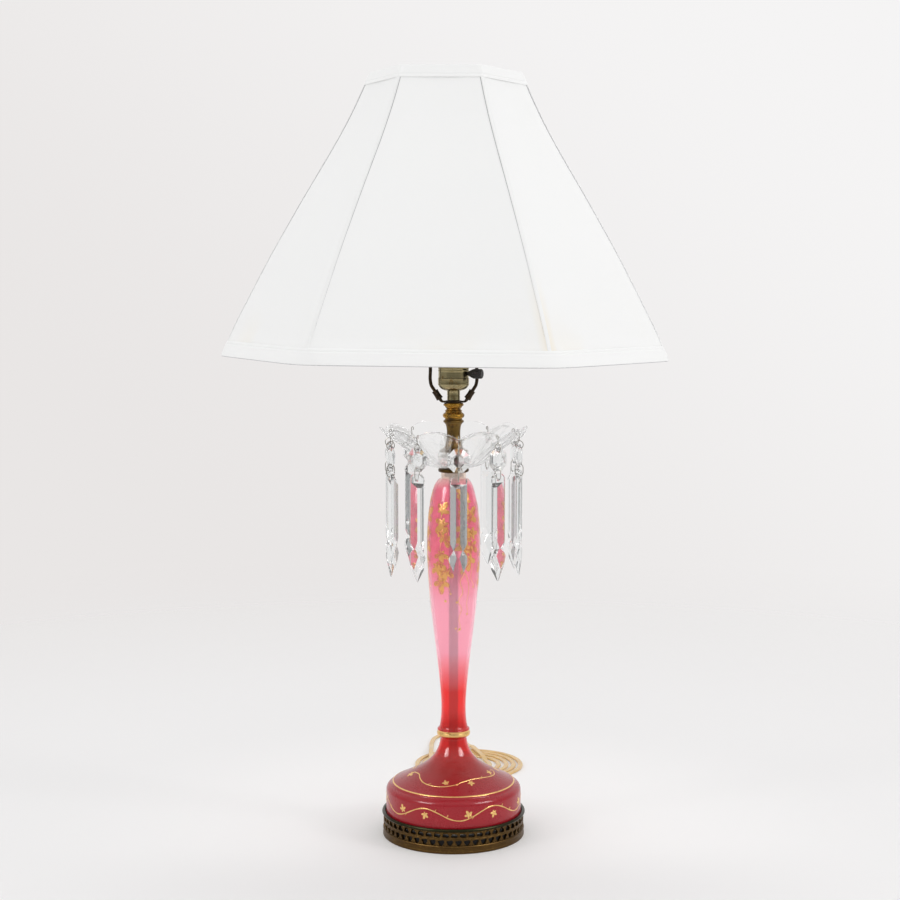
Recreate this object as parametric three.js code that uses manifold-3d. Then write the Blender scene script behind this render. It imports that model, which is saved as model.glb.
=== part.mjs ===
// A table lamp: a tall blown glass vase on a pierced metal gallery ring, a scalloped glass
// drip pan hung with ten cut glass pendants, a turned brass column, a lamp socket with a
// harp and a large fabric shade. Sizes are in millimetres. +Z is up, the origin is at the
// centre of the gallery ring's underside, and the front of the lamp faces -Y.

import * as THREE from 'three';
import { mergeVertices } from 'three/addons/utils/BufferGeometryUtils.js';
import Module from 'manifold-3d';

const wasm = await Module();
wasm.setup();

// Clearance between pieces that rest on each other or fit in each other
const GAP = 0.3;

// Gallery ring under the glass foot
const RING_INNER_RADIUS = 70.8;
const RING_BAND_WALL = 3.8;
const RING_FRIEZE_WALL = 2.8;
const RING_BAND_HEIGHT = 8.5;
const RING_FRIEZE_HEIGHT = 11.5;
const RING_LIP_HEIGHT = 6;
const RING_LIP_WALL = 4.2;
const RING_LEDGE_DEPTH = 4.8;
const RING_LEDGE_THICKNESS = 2;
const RING_CHAMFER = 1.2;
const FRIEZE_REPEATS = 52;
const FRIEZE_HOLE_WIDTH = 5.2;
const FRIEZE_HOLE_HEIGHT = 8.4;
const FOOT_CLEARANCE = 0.8;

// Threaded centre pipe, seat plate, washer and nut
const PIPE_RADIUS = 5;
const PIPE_BORE = 3.7;
const PIPE_BELOW_NUT = 1;
const PIPE_IN_SOCKET = 7.6;
const SEAT_PLATE_THICKNESS = 2;
const SEAT_PLATE_MARGIN = 2;
const WASHER_RADIUS = 12;
const WASHER_THICKNESS = 1.4;
const NUT_ACROSS_FLATS = 17;
const NUT_HEIGHT = 5;

// Cord outlet in the back of the ring
const OUTLET_RADIUS = 4.6;
const OUTLET_FLANGE_RADIUS = 5.4;
const OUTLET_FLANGE_THICKNESS = 1.6;
const OUTLET_BORE = 3.4;

// Glass vase: foot, collar, stem, belly and neck
const GLASS_WALL = 3;
const FOOT_RADIUS = 71;
const FOOT_BAND_HEIGHT = 24;
const FOOT_ROLL = 7;
const FOOT_HEIGHT = 80.7;
const FOOT_STEM_RADIUS = 13.5;
const COLLAR_RADIUS = 17.1;
const COLLAR_HEIGHT = 8;
const COLLAR_RISE = 2.2;
const WAIST_RADIUS = 12.8;
const WAIST_RISE = 24;
const BELLY_RADIUS = 27.6;
const BELLY_RISE = 173;
const SHOULDER_RISE = 67.7;
const NECK_RADIUS = 13;
const NECK_HEIGHT = 6;

// Brass cap on the neck
const CAP_RADIUS = 16;
const CAP_HEIGHT = 4.8;
const CAP_SPIGOT = 4;

// Scalloped drip pan
const PAN_LOBES = 10;
const PAN_TURN = THREE.MathUtils.degToRad(4);
const PAN_BOSS_RADIUS = 16;
const PAN_BOSS_HEIGHT = 15.7;
const PAN_NOTCH_RADIUS = 73;
const PAN_LOBE_REACH = 3.6;
const PAN_NOTCH_HEIGHT = 34.5;
const PAN_LOBE_RISE = 8;
const PAN_GLASS = 3;
const PAN_STEPS_PER_LOBE = 4;

// Pins, beads, links and prisms of the pendants
const WIRE_RADIUS = 0.5;
const EYE_RADIUS = 4.2;
const PIN_HEAD_RADIUS = 1.7;
const PIN_INSET = 3.4;
const PIN_STEM = 4.4;
const BEAD_WIDTH = 21.5;
const BEAD_HEIGHT = 23.7;
const BEAD_THICKNESS = 6.4;
const BEAD_BEVEL = 6;
const BEAD_HOLE_SPACING = 16.3;
const LINK_STRETCH = 5.3;
const GLASS_HOLE_RADIUS = 1.4;
const HANG = 0.6;
const PRISM_WIDTH = 17;
const PRISM_THICKNESS = 9.4;
const PRISM_TOP_THICKNESS = 4;
const PRISM_BEVEL = 2;
const PRISM_ABOVE_HOLE = 6;
const PRISM_SLAB_LENGTH = 63;
const PRISM_NECK_WIDTH = 10;
const PRISM_NECK_DROP = 7.4;
const PRISM_SPEAR_WIDTH = 21;
const PRISM_SPEAR_DROP = 8.1;
const PRISM_TIP_DROP = 25;

// Turned brass column in two pieces
const COLUMN_FOOT_RADIUS = 15;
const COLUMN_BASE_HEIGHT = 34.2;
const COLUMN_SHAFT_RADIUS = 6.9;
const COLUMN_HEAD_RADIUS = 10.6;
const COLUMN_TOP_HEIGHT = 16.2;
const COLUMN_RIDGE_RADIUS = 11.3;
const COLUMN_TOP_RADIUS = 10.4;

// Harp saddle, sleeves and harp
const SADDLE_RADIUS = 8.9;
const SADDLE_THICKNESS = 2.2;
const WING_WIDTH = 6;
const WING_REACH = 14;
const HARP_WIRE_RADIUS = 1.75;
const LEG_SLOPE = THREE.MathUtils.degToRad(57);
const LEG_HALF_WIDTH = 23.8;
const PRONG_LENGTH = 7;
const SLEEVE_RADIUS = 3.75;
const SLEEVE_LENGTH = 10;
const SLEEVE_CLEARANCE = 0.35;
const SLEEVE_RAISE = 3.4;
const HARP_HEIGHT = 307.5;
const HARP_HALF_WIDTH = 52;
const HARP_PLATE_RADIUS = 6;
const HARP_PLATE_THICKNESS = 2;
const STUD_RADIUS = 3;
const STUD_LENGTH = 13;

// Lamp socket, turn knob and bulb
const SOCKET_NECK_RADIUS = 6.7;
const SOCKET_NECK_HEIGHT = 9.6;
const SOCKET_BOWL_HEIGHT = 6.5;
const SOCKET_CAP_RADIUS = 16.2;
const SOCKET_CAP_RIM = 7;
const SOCKET_SHELL_RADIUS = 15.7;
const SOCKET_SHELL_HEIGHT = 39;
const SOCKET_SKIRT = 4.5;
const SHEET_BRASS = 0.8;
const LINER_WALL = 0.6;
const SCREW_SHELL_WALL = 0.6;
const SCREW_SHELL_HEIGHT = 22;
const SWITCH_BODY_HEIGHT = 19;
const KNOB_TURN = THREE.MathUtils.degToRad(65);
const KNOB_ABOVE_CAP = 4.8;
const KNOB_STEM_RADIUS = 1.9;
const KNOB_STEM_START = 9.5;
const KNOB_COLLAR_START = 16.8;
const KNOB_START = 22;
const KNOB_LENGTH = 10.5;
const KNOB_RADIUS = 5.2;
const KNOB_FLUTES = 10;
const BULB_RADIUS = 30;
const BULB_HEIGHT = 108;
const BULB_BASE_HEIGHT = 22;
const BULB_WALL = 0.9;

// Shade: cover, trims, wire frame and finial
const SHADE_RIBS = 6;
const SHADE_TURN = THREE.MathUtils.degToRad(26);
const SHADE_HEIGHT = 290.6;
const SHADE_TOP_RADIUS = 77.6;
const SHADE_BOTTOM_RADIUS = 229;
const SHADE_WAIST = 3;
const SHADE_SHOULDER = 5.3;
const SHADE_FABRIC = 1.2;
const SHADE_RECESS = 26.9;
const TRIM_THICKNESS = 1.2;
const TRIM_TOP_HEIGHT = 12.8;
const TRIM_BOTTOM_HEIGHT = 15.4;
const FRAME_WIRE_RADIUS = 1.5;
const FRAME_INSET = 5;
const SPIDER_ARMS = 3;
const SPIDER_WASHER_RADIUS = 9;
const SPIDER_WASHER_THICKNESS = 2;
const FINIAL_HEIGHT = 22;
const FINIAL_RADIUS = 7;

// Flat twin cord, its coil and its plug
const CORD_WIDTH = 5.6;
const CORD_THICKNESS = 2.8;
const CORD_LIFT = 0.1;
const COIL_CENTRE = [17, 262];
const COIL_START_RADIUS = 26;
const COIL_START_ANGLE = THREE.MathUtils.degToRad(25);
const COIL_TURNS = 4.208;
const COIL_FIRST_PITCH = 11.5;
const COIL_CLOSING = 0.86;
const COIL_TAIL = 30;
const PLUG_WIDTH = 22;
const PLUG_THICKNESS = 11;
const PLUG_LENGTH = 28;
const BLADE_LENGTH = 17;
const BLADE_WIDTH = 6.3;
const BLADE_THICKNESS = 1.5;
const BLADE_SPACING = 12.7;

// Sides of the faceted rounds
const RING_SIDES = 26;
const VASE_SIDES = 24;
const MEDIUM_SIDES = 16;
const BULB_SIDES = 14;
const SMALL_SIDES = 12;

// Heights of the seats, stacked from the table up
const ringLedgeUnder = RING_BAND_HEIGHT + RING_FRIEZE_HEIGHT;
const ringLedgeTop = ringLedgeUnder + RING_LEDGE_THICKNESS;
const ringTop = ringLedgeUnder + RING_LIP_HEIGHT;
const vaseSeat = ringLedgeTop + GAP;
const waistHeight = FOOT_HEIGHT + COLLAR_RISE + COLLAR_HEIGHT + WAIST_RISE;
const bellyHeight = waistHeight + BELLY_RISE;
const shoulderTop = bellyHeight + SHOULDER_RISE;
const vaseHeight = shoulderTop + NECK_HEIGHT;
const capSeat = vaseSeat + vaseHeight + GAP;
const panSeat = capSeat + CAP_HEIGHT + GAP;
const columnSeat = panSeat + PAN_BOSS_HEIGHT + GAP;
const columnTopSeat = columnSeat + COLUMN_BASE_HEIGHT + GAP;
const saddleSeat = columnTopSeat + COLUMN_TOP_HEIGHT + GAP;
const socketSeat = saddleSeat + SADDLE_THICKNESS + GAP;
const socketRimTop = socketSeat + SOCKET_NECK_HEIGHT + SOCKET_BOWL_HEIGHT + SOCKET_CAP_RIM;
const harpTop = saddleSeat + SADDLE_THICKNESS + HARP_HEIGHT;
const spiderSeat = harpTop + GAP;
const shadeTop = spiderSeat + SHADE_RECESS;
const pipeHole = PIPE_RADIUS + GAP;

// Materials
const finish = (color, roughness, metalness, extra = {}) => (
  new THREE.MeshStandardMaterial({ color, roughness, metalness, ...extra })
);
const antiqueBrass = finish(0x8a6f3c, 0.38, 1);
const lightBrass = finish(0xb39a63, 0.3, 1);
const darkBronze = finish(0x4a4033, 0.45, 1);
const steel = finish(0xa9a9a4, 0.4, 1);
const rubyGlass = finish(0xa0152c, 0.15, 0);
const clearGlass = finish(0xe9edeb, 0.05, 0, { transparent: true, opacity: 0.45 });
const bulbGlass = finish(0xf4f2ea, 0.3, 0);
const shadeFabric = finish(0xe9e7df, 0.9, 0);
const shadeTrim = finish(0xe2e0d6, 0.85, 0);
const blackPlastic = finish(0x1d1a18, 0.45, 0);
const linerPaper = finish(0x6d5a45, 0.9, 0);
const goldCord = finish(0xb9924a, 0.35, 0);

const lamp = new THREE.Group();

// Drops the normals and the triangles that a pole leaves flat, and turns the faces outwards
function closed(geometry) {
  geometry.deleteAttribute('normal');
  geometry.deleteAttribute('uv');
  const merged = mergeVertices(geometry, 1e-4);
  const corner = [new THREE.Vector3(), new THREE.Vector3(), new THREE.Vector3()];
  const index = [];
  let volume = 0;
  for (let i = 0; i < merged.index.count; i += 3) {
    const abc = [0, 1, 2].map((j) => merged.index.getX(i + j));
    if (new Set(abc).size === 3) {
      abc.forEach((v, j) => corner[j].fromBufferAttribute(merged.attributes.position, v));
      volume += corner[0].dot(corner[1].clone().cross(corner[2]));
      index.push(...abc);
    }
  }
  if (volume < 0) index.reverse();
  merged.setIndex(index);
  return merged;
}

// A closed geometry as a solid that can be joined and cut
function solid(geometry) {
  const { attributes, index } = closed(geometry);
  return new wasm.Manifold(new wasm.Mesh({
    numProp: 3,
    vertProperties: new Float32Array(attributes.position.array),
    triVerts: new Uint32Array(index.array),
  }));
}

function geometryOf(body) {
  const { vertProperties, triVerts } = body.getMesh();
  const geometry = new THREE.BufferGeometry();
  geometry.setAttribute('position', new THREE.BufferAttribute(new Float32Array(vertProperties), 3));
  geometry.setIndex(new THREE.BufferAttribute(new Uint32Array(triVerts), 1));
  return geometry;
}

function piece(name, shape, material, height = 0, parent = lamp) {
  const geometry = shape.isBufferGeometry ? closed(shape) : geometryOf(shape);
  const mesh = new THREE.Mesh(geometry, material);
  mesh.name = name;
  mesh.position.z = height;
  parent.add(mesh);
  return mesh;
}

const joined = (shapes) => shapes.map((s) => solid(s)).reduce((all, next) => all.add(next));

// A turned shape about Z from [radius, height] points, with its first corner at the turn given
function turned(points, sides, turn = 0) {
  const profile = points.map(([r, z]) => new THREE.Vector2(Math.max(r, 0), z));
  return new THREE.LatheGeometry(profile, sides, turn).rotateX(Math.PI / 2);
}

// A turned shape with a bore: the outline's end is joined to its start
const turnedRing = (points, sides, turn = 0) => turned([...points, points[0]], sides, turn);

// An outline with a plain bore of one radius, from the outline's last height to its first
function bored(outline, bore, sides, turn = 0) {
  const bottom = outline[0][1];
  const top = outline[outline.length - 1][1];
  return turnedRing([[bore, bottom], ...outline, [bore, top]], sides, turn);
}

function polygon(radius, sides, turn = 0) {
  const corners = Array.from({ length: sides }, (_, i) => {
    const angle = turn + (2 * Math.PI * i) / sides;
    return new THREE.Vector2(radius * Math.cos(angle), radius * Math.sin(angle));
  });
  return new THREE.Shape(corners);
}

const outlineShape = (points) => new THREE.Shape(points.map(([x, y]) => new THREE.Vector2(x, y)));

const slab = (shape, depth) => new THREE.ExtrudeGeometry(shape, { depth, bevelEnabled: false });

// A round wire along a curve
function wire(curve, radius, sides, steps) {
  return new THREE.ExtrudeGeometry(polygon(radius, sides), { steps, extrudePath: curve });
}

// Points on a smooth curve through [radius, height] keys
function smooth(keys, count) {
  const curve = new THREE.SplineCurve(keys.map(([r, z]) => new THREE.Vector2(r, z)));
  return curve.getPoints(count).map((p) => [p.x, p.y]);
}

// The same outline moved in by a wall thickness, square to itself
function wallInside(points, wall) {
  return points.map(([r, z], i) => {
    const [r0, z0] = points[Math.max(i - 1, 0)];
    const [r1, z1] = points[Math.min(i + 1, points.length - 1)];
    const along = Math.hypot(r1 - r0, z1 - z0);
    return [r - (wall * (z1 - z0)) / along, z + (wall * (r1 - r0)) / along];
  });
}

// Gallery ring: foot band, pierced frieze, rounded lip and the ledge that carries the glass
const ringBandRadius = RING_INNER_RADIUS + RING_BAND_WALL;
const ringFriezeRadius = RING_INNER_RADIUS + RING_FRIEZE_WALL;
const ringLipRadius = FOOT_RADIUS + FOOT_CLEARANCE + RING_LIP_WALL;
const ringLedgeRadius = RING_INNER_RADIUS - RING_LEDGE_DEPTH;
const friezeMiddle = RING_BAND_HEIGHT + RING_FRIEZE_HEIGHT / 2;
const outletHeight = friezeMiddle + GAP;

function galleryRing() {
  const lipBore = FOOT_RADIUS + FOOT_CLEARANCE;
  const body = solid(turnedRing([
    [RING_INNER_RADIUS, 0],
    [ringBandRadius, 0],
    [ringBandRadius, RING_BAND_HEIGHT - RING_CHAMFER],
    [ringFriezeRadius, RING_BAND_HEIGHT],
    [ringFriezeRadius, ringLedgeUnder],
    [ringLipRadius, ringLedgeUnder + RING_CHAMFER],
    [ringLipRadius, ringTop - RING_CHAMFER],
    [ringLipRadius - RING_CHAMFER, ringTop],
    [lipBore, ringTop],
    [lipBore, ringLedgeTop],
    [ringLedgeRadius, ringLedgeTop],
    [ringLedgeRadius, ringLedgeUnder],
    [RING_INNER_RADIUS, ringLedgeUnder],
  ], RING_SIDES, Math.PI / RING_SIDES));
  const leaf = outlineShape([
    [0, -FRIEZE_HOLE_HEIGHT / 2], [FRIEZE_HOLE_WIDTH / 2, 0],
    [0, FRIEZE_HOLE_HEIGHT / 2], [-FRIEZE_HOLE_WIDTH / 2, 0],
  ]);
  const depth = ringBandRadius - ringLedgeRadius;
  const back = FRIEZE_REPEATS / 2;
  let pierced = body;
  for (let i = 0; i < FRIEZE_REPEATS; i += 1) {
    if (Math.abs(i + 0.5 - back) > 1) {
      const hole = slab(leaf, depth).rotateX(Math.PI / 2);
      hole.translate(0, -ringLedgeRadius, friezeMiddle);
      pierced = pierced.subtract(solid(hole.rotateZ((2 * Math.PI * (i + 0.5)) / FRIEZE_REPEATS)));
    }
  }
  const outlet = slab(polygon(OUTLET_RADIUS, SMALL_SIDES), depth).rotateX(Math.PI / 2);
  return pierced.subtract(solid(outlet.translate(0, ringBandRadius, outletHeight)));
}
piece('gallery_ring', galleryRing(), antiqueBrass);

// Seat plate under the ledge, with the washer and nut that clamp the stack
const seatPlateTop = ringLedgeUnder - GAP;
const seatPlateRadius = RING_INNER_RADIUS - SEAT_PLATE_MARGIN;
piece('seat_plate', bored([
  [seatPlateRadius, 0],
  [seatPlateRadius, SEAT_PLATE_THICKNESS],
], pipeHole, MEDIUM_SIDES), steel, seatPlateTop - SEAT_PLATE_THICKNESS);

const washerTop = seatPlateTop - SEAT_PLATE_THICKNESS - GAP;
const nutTop = washerTop - WASHER_THICKNESS - GAP;
const nutShape = polygon(NUT_ACROSS_FLATS / Math.sqrt(3), 6);
nutShape.holes.push(polygon(pipeHole, SMALL_SIDES));
piece('lock_washer', bored([
  [WASHER_RADIUS, 0],
  [WASHER_RADIUS, WASHER_THICKNESS],
], pipeHole, SMALL_SIDES), steel, washerTop - WASHER_THICKNESS);
piece('pipe_nut', slab(nutShape, NUT_HEIGHT), steel, nutTop - NUT_HEIGHT);

// Centre pipe from below the nut into the neck of the socket
const pipeBottom = nutTop - NUT_HEIGHT - PIPE_BELOW_NUT;
const pipeTop = socketSeat + PIPE_IN_SOCKET;
piece('center_pipe', bored([
  [PIPE_RADIUS, 0],
  [PIPE_RADIUS, pipeTop - pipeBottom],
], PIPE_BORE, SMALL_SIDES), steel, pipeBottom);

// Glass vase: one blown piece, open at the foot and at the neck
function footOutline() {
  return [
    [FOOT_RADIUS - 0.6, 0],
    [FOOT_RADIUS, 1.6],
    [FOOT_RADIUS, FOOT_BAND_HEIGHT],
    [FOOT_RADIUS - 0.8, FOOT_BAND_HEIGHT + FOOT_ROLL * 0.6],
    [FOOT_RADIUS - 3.4, FOOT_BAND_HEIGHT + FOOT_ROLL],
    ...smooth([
      [FOOT_RADIUS - 5.8, FOOT_BAND_HEIGHT + FOOT_ROLL * 1.3],
      [FOOT_RADIUS - 10.5, FOOT_BAND_HEIGHT + FOOT_ROLL * 1.71],
      [FOOT_RADIUS - 20.5, FOOT_BAND_HEIGHT + FOOT_ROLL * 2.39],
      [FOOT_STEM_RADIUS + 22.5, FOOT_HEIGHT - 32],
      [FOOT_STEM_RADIUS + 11, FOOT_HEIGHT - 23.5],
      [FOOT_STEM_RADIUS + 4.1, FOOT_HEIGHT - 14],
      [FOOT_STEM_RADIUS, FOOT_HEIGHT],
    ], 7),
  ];
}

// The stem swells from the waist to the belly and rounds over to the neck
function bowlOutline(risingSteps, shoulderSteps) {
  const stretch = (count) => Array.from({ length: count }, (_, i) => (i + 1) / count);
  const rising = stretch(risingSteps).map((u) => [
    WAIST_RADIUS + (BELLY_RADIUS - WAIST_RADIUS) * Math.sin((Math.PI / 2) * u) ** 1.5,
    waistHeight + BELLY_RISE * u,
  ]);
  const shoulder = stretch(shoulderSteps).map((u) => {
    const v = Math.sin((Math.PI / 2) * u);
    return [
      NECK_RADIUS + (BELLY_RADIUS - NECK_RADIUS) * Math.sqrt(Math.max(1 - v ** 2, 0)),
      bellyHeight + SHOULDER_RISE * v,
    ];
  });
  return [[WAIST_RADIUS, waistHeight], ...rising, ...shoulder];
}

function glassVase() {
  const collarFoot = FOOT_HEIGHT + COLLAR_RISE;
  const collarTop = collarFoot + COLLAR_HEIGHT;
  const collarEdge = COLLAR_RADIUS - 1.2;
  const aboveCollar = FOOT_STEM_RADIUS + 1.2;
  const outer = [
    ...footOutline(),
    [collarEdge, collarFoot],
    [COLLAR_RADIUS, collarFoot + COLLAR_HEIGHT / 3],
    [COLLAR_RADIUS, collarFoot + (COLLAR_HEIGHT * 2) / 3],
    [collarEdge, collarTop],
    [aboveCollar, collarTop + 1.5],
    ...bowlOutline(7, 5),
    [NECK_RADIUS, vaseHeight],
  ];
  const footInside = footOutline().slice(5).filter((_, i) => i % 2 === 0);
  const inner = [
    [FOOT_RADIUS - GLASS_WALL, 0],
    [FOOT_RADIUS - GLASS_WALL, FOOT_BAND_HEIGHT],
    ...wallInside(footInside, GLASS_WALL).slice(1),
    ...wallInside(bowlOutline(4, 4), GLASS_WALL).slice(0, -1),
    [NECK_RADIUS - GLASS_WALL, shoulderTop - GLASS_WALL / 2],
    [NECK_RADIUS - GLASS_WALL, vaseHeight],
  ];
  return turnedRing([...outer, ...inner.reverse()], VASE_SIDES);
}
piece('glass_vase', glassVase(), rubyGlass, vaseSeat);

// Cap that closes the neck: a spigot in the neck under a rolled disc
piece('vase_cap', bored([
  [NECK_RADIUS - GLASS_WALL - 2 * GAP, -CAP_SPIGOT],
  [NECK_RADIUS - GLASS_WALL - 2 * GAP, 0],
  [CAP_RADIUS - 0.8, 0],
  [CAP_RADIUS, CAP_HEIGHT * 0.3],
  [CAP_RADIUS, CAP_HEIGHT * 0.6],
  [CAP_RADIUS - 1.4, CAP_HEIGHT],
], pipeHole, MEDIUM_SIDES), antiqueBrass, capSeat);

// Drip pan: a turned bowl whose rim is pushed out and up into lobes
const pinRadius = PAN_NOTCH_RADIUS - PIN_INSET;
const panSides = PAN_LOBES * PAN_STEPS_PER_LOBE;
const panShares = [0, 0.3, 0.6, 0.84, 1];

// How far the pan's underside has risen from boss to rim, as a share of the whole rise
const panRise = (share) => (
  0.65 * (0.5 - 0.5 * Math.cos(Math.PI * Math.min(share, 1) ** 1.1)) + 0.35 * share ** 2
);

function dripPan() {
  const run = PAN_NOTCH_RADIUS - PAN_BOSS_RADIUS;
  const under = panShares.map((s) => [
    PAN_BOSS_RADIUS + run * s,
    (PAN_NOTCH_HEIGHT - PAN_GLASS) * panRise(s),
  ]);
  const upper = under.map(([r, z]) => [r, z + PAN_GLASS]).reverse();
  const geometry = turnedRing([
    [pipeHole, 0],
    ...under,
    ...upper,
    [PAN_BOSS_RADIUS, PAN_BOSS_HEIGHT - 1.5],
    [PAN_BOSS_RADIUS - 1.5, PAN_BOSS_HEIGHT],
    [pipeHole, PAN_BOSS_HEIGHT],
  ], panSides, PAN_TURN);
  const place = geometry.attributes.position;
  for (let i = 0; i < place.count; i += 1) {
    const x = place.getX(i);
    const y = place.getY(i);
    const r = Math.hypot(x, y);
    const out = Math.max((r - PAN_BOSS_RADIUS) / run, 0);
    const angle = Math.atan2(x, -y) - PAN_TURN;
    const lobe = Math.abs(Math.sin((PAN_LOBES / 2) * angle)) ** 0.8 * out ** 2;
    const grow = r > 0 ? (r + PAN_LOBE_REACH * lobe) / r : 1;
    place.setXYZ(i, x * grow, y * grow, place.getZ(i) + PAN_LOBE_RISE * lobe);
  }
  return solid(geometry);
}

function pendantTurn(i) {
  return PAN_TURN + (2 * Math.PI * i) / PAN_LOBES;
}

// Pins: a small head on the pan, a stem set through the glass and an eye below
const panAtPin = panSeat + PAN_GLASS
  + (PAN_NOTCH_HEIGHT - PAN_GLASS) * panRise((PAN_NOTCH_RADIUS - PIN_INSET + PIN_HEAD_RADIUS
    - PAN_BOSS_RADIUS) / (PAN_NOTCH_RADIUS - PAN_BOSS_RADIUS));
const pinHeadUnder = panAtPin - WIRE_RADIUS;
const eyeCentre = pinHeadUnder - PIN_STEM - EYE_RADIUS;

// A ring of wire that stands in the plane of YZ, with its halves drawn apart by a stretch
function wireRing(stretch) {
  const ring = new THREE.TorusGeometry(EYE_RADIUS, WIRE_RADIUS, 4, 8);
  ring.rotateZ(Math.PI / 8);
  const place = ring.attributes.position;
  for (let i = 0; i < place.count; i += 1) {
    place.setY(i, place.getY(i) + (Math.sign(place.getY(i)) * stretch) / 2);
  }
  return ring.rotateX(Math.PI / 2).rotateZ(Math.PI / 2);
}

function panPin() {
  const head = slab(polygon(PIN_HEAD_RADIUS, 6), 3 * WIRE_RADIUS);
  const stem = slab(polygon(WIRE_RADIUS, 4), PIN_STEM + 2 * WIRE_RADIUS);
  return joined([
    head.translate(0, 0, pinHeadUnder),
    stem.translate(0, 0, pinHeadUnder - PIN_STEM - WIRE_RADIUS),
    wireRing(0).translate(0, 0, eyeCentre),
  ]);
}

const pins = Array.from({ length: PAN_LOBES }, (_, i) => {
  const turn = THREE.MathUtils.radToDeg(pendantTurn(i));
  return panPin().translate([0, -pinRadius, 0]).rotate([0, 0, turn]);
});
const panWithPins = pins.reduce((all, next) => all.add(next), dripPan().translate([0, 0, panSeat]));
piece('drip_pan', panWithPins, clearGlass);

// Pendants: a bead on the pin's eye, a wire link and a spear prism. The wire runs through
// each hole on the arc of its ring, so the bead and the prism turn about the ring's centre.
const holeToEye = EYE_RADIUS - HANG;
const beadUpperHole = eyeCentre - holeToEye;
const beadCentre = beadUpperHole - BEAD_HOLE_SPACING / 2;
const beadLowerHole = beadUpperHole - BEAD_HOLE_SPACING;
const linkCentre = beadLowerHole - holeToEye - LINK_STRETCH / 2;
const prismHole = linkCentre - LINK_STRETCH / 2 - holeToEye;

// A hole through the thickness of a pendant glass, at a height
function glassHole(height) {
  const depth = 4 * BEAD_THICKNESS;
  const hole = slab(polygon(GLASS_HOLE_RADIUS, 6), depth).rotateX(Math.PI / 2);
  return solid(hole.translate(0, depth / 2, height));
}

function bead() {
  const x = BEAD_WIDTH / 2 - BEAD_BEVEL;
  const y = BEAD_HEIGHT / 2 - BEAD_BEVEL;
  const cut = x * 0.58;
  const table = outlineShape([
    [x, -y + cut], [x, y - cut], [x - cut, y], [cut - x, y],
    [-x, y - cut], [-x, cut - y], [cut - x, -y], [x - cut, -y],
  ]);
  const girdle = 1;
  const bevelThickness = (BEAD_THICKNESS - girdle) / 2;
  const gem = new THREE.ExtrudeGeometry(table, {
    depth: girdle, bevelThickness, bevelSize: BEAD_BEVEL, bevelSegments: 1,
  });
  const body = solid(gem.translate(0, 0, -girdle / 2).rotateX(Math.PI / 2));
  return body.subtract(glassHole(BEAD_HOLE_SPACING / 2)).subtract(glassHole(-BEAD_HOLE_SPACING / 2));
}

// A prism is where a front outline, a side outline and a ridged section meet; z is 0 at its
// hole, its flat face looks outwards and its ridge towards the stem
function prism() {
  const half = PRISM_WIDTH / 2;
  const top = PRISM_ABOVE_HOLE;
  const slabEnd = -PRISM_SLAB_LENGTH;
  const neck = slabEnd - PRISM_NECK_DROP;
  const spear = neck - PRISM_SPEAR_DROP;
  const tip = spear - PRISM_TIP_DROP;
  const right = [
    [half, top - 4], [half, slabEnd], [PRISM_NECK_WIDTH / 2, neck], [PRISM_SPEAR_WIDTH / 2, spear],
  ];
  const left = right.map(([x, z]) => [-x, z]).reverse();
  const front = outlineShape([[half - 4.5, top], ...right, [0.4, tip], [-0.4, tip], ...left, [4.5 - half, top]]);
  const back = PRISM_TOP_THICKNESS / 2;
  const ridge = PRISM_THICKNESS - back;
  const side = outlineShape([
    [-back, top], [-back, slabEnd], [-back + 0.8, neck], [-back - 0.8, spear], [-0.4, tip],
    [0.4, tip], [ridge + 0.8, spear], [ridge - 2.4, neck], [ridge, slabEnd],
    [ridge, top - 14], [back, top - 9], [back, top],
  ]);
  const widest = PRISM_SPEAR_WIDTH / 2;
  const bevelled = half - PRISM_BEVEL;
  const section = outlineShape([
    [-bevelled, -back], [bevelled, -back], [half, -back + 0.9], [widest, -back + 1.8],
    [half, -back + 2.4], [1.2, ridge + 0.9], [-1.2, ridge + 0.9], [-half, -back + 2.4],
    [-widest, -back + 1.8], [-half, -back + 0.9],
  ]);
  const tall = top - tip;
  const frontBody = slab(front, 4 * PRISM_THICKNESS).translate(0, 0, -2 * PRISM_THICKNESS);
  const sideBody = slab(side, 2 * PRISM_WIDTH).translate(0, 0, -PRISM_WIDTH);
  const sectionBody = slab(section, tall).translate(0, 0, tip);
  return solid(frontBody.rotateX(Math.PI / 2))
    .intersect(solid(sideBody.rotateX(Math.PI / 2).rotateZ(-Math.PI / 2)))
    .intersect(solid(sectionBody.rotateZ(Math.PI)))
    .rotate([0, 0, 180])
    .subtract(glassHole(0));
}

const beadBody = bead();
const prismBody = prism();
for (let i = 0; i < PAN_LOBES; i += 1) {
  const pendant = new THREE.Group();
  pendant.rotation.z = pendantTurn(i);
  lamp.add(pendant);
  const arm = new THREE.Group();
  arm.position.y = -pinRadius;
  pendant.add(arm);
  const number = String(i + 1).padStart(2, '0');
  piece(`bead_${number}`, beadBody, clearGlass, beadCentre, arm);
  piece(`link_${number}`, wireRing(LINK_STRETCH), antiqueBrass, linkCentre, arm);
  piece(`prism_${number}`, prismBody, clearGlass, prismHole, arm);
}

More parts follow.
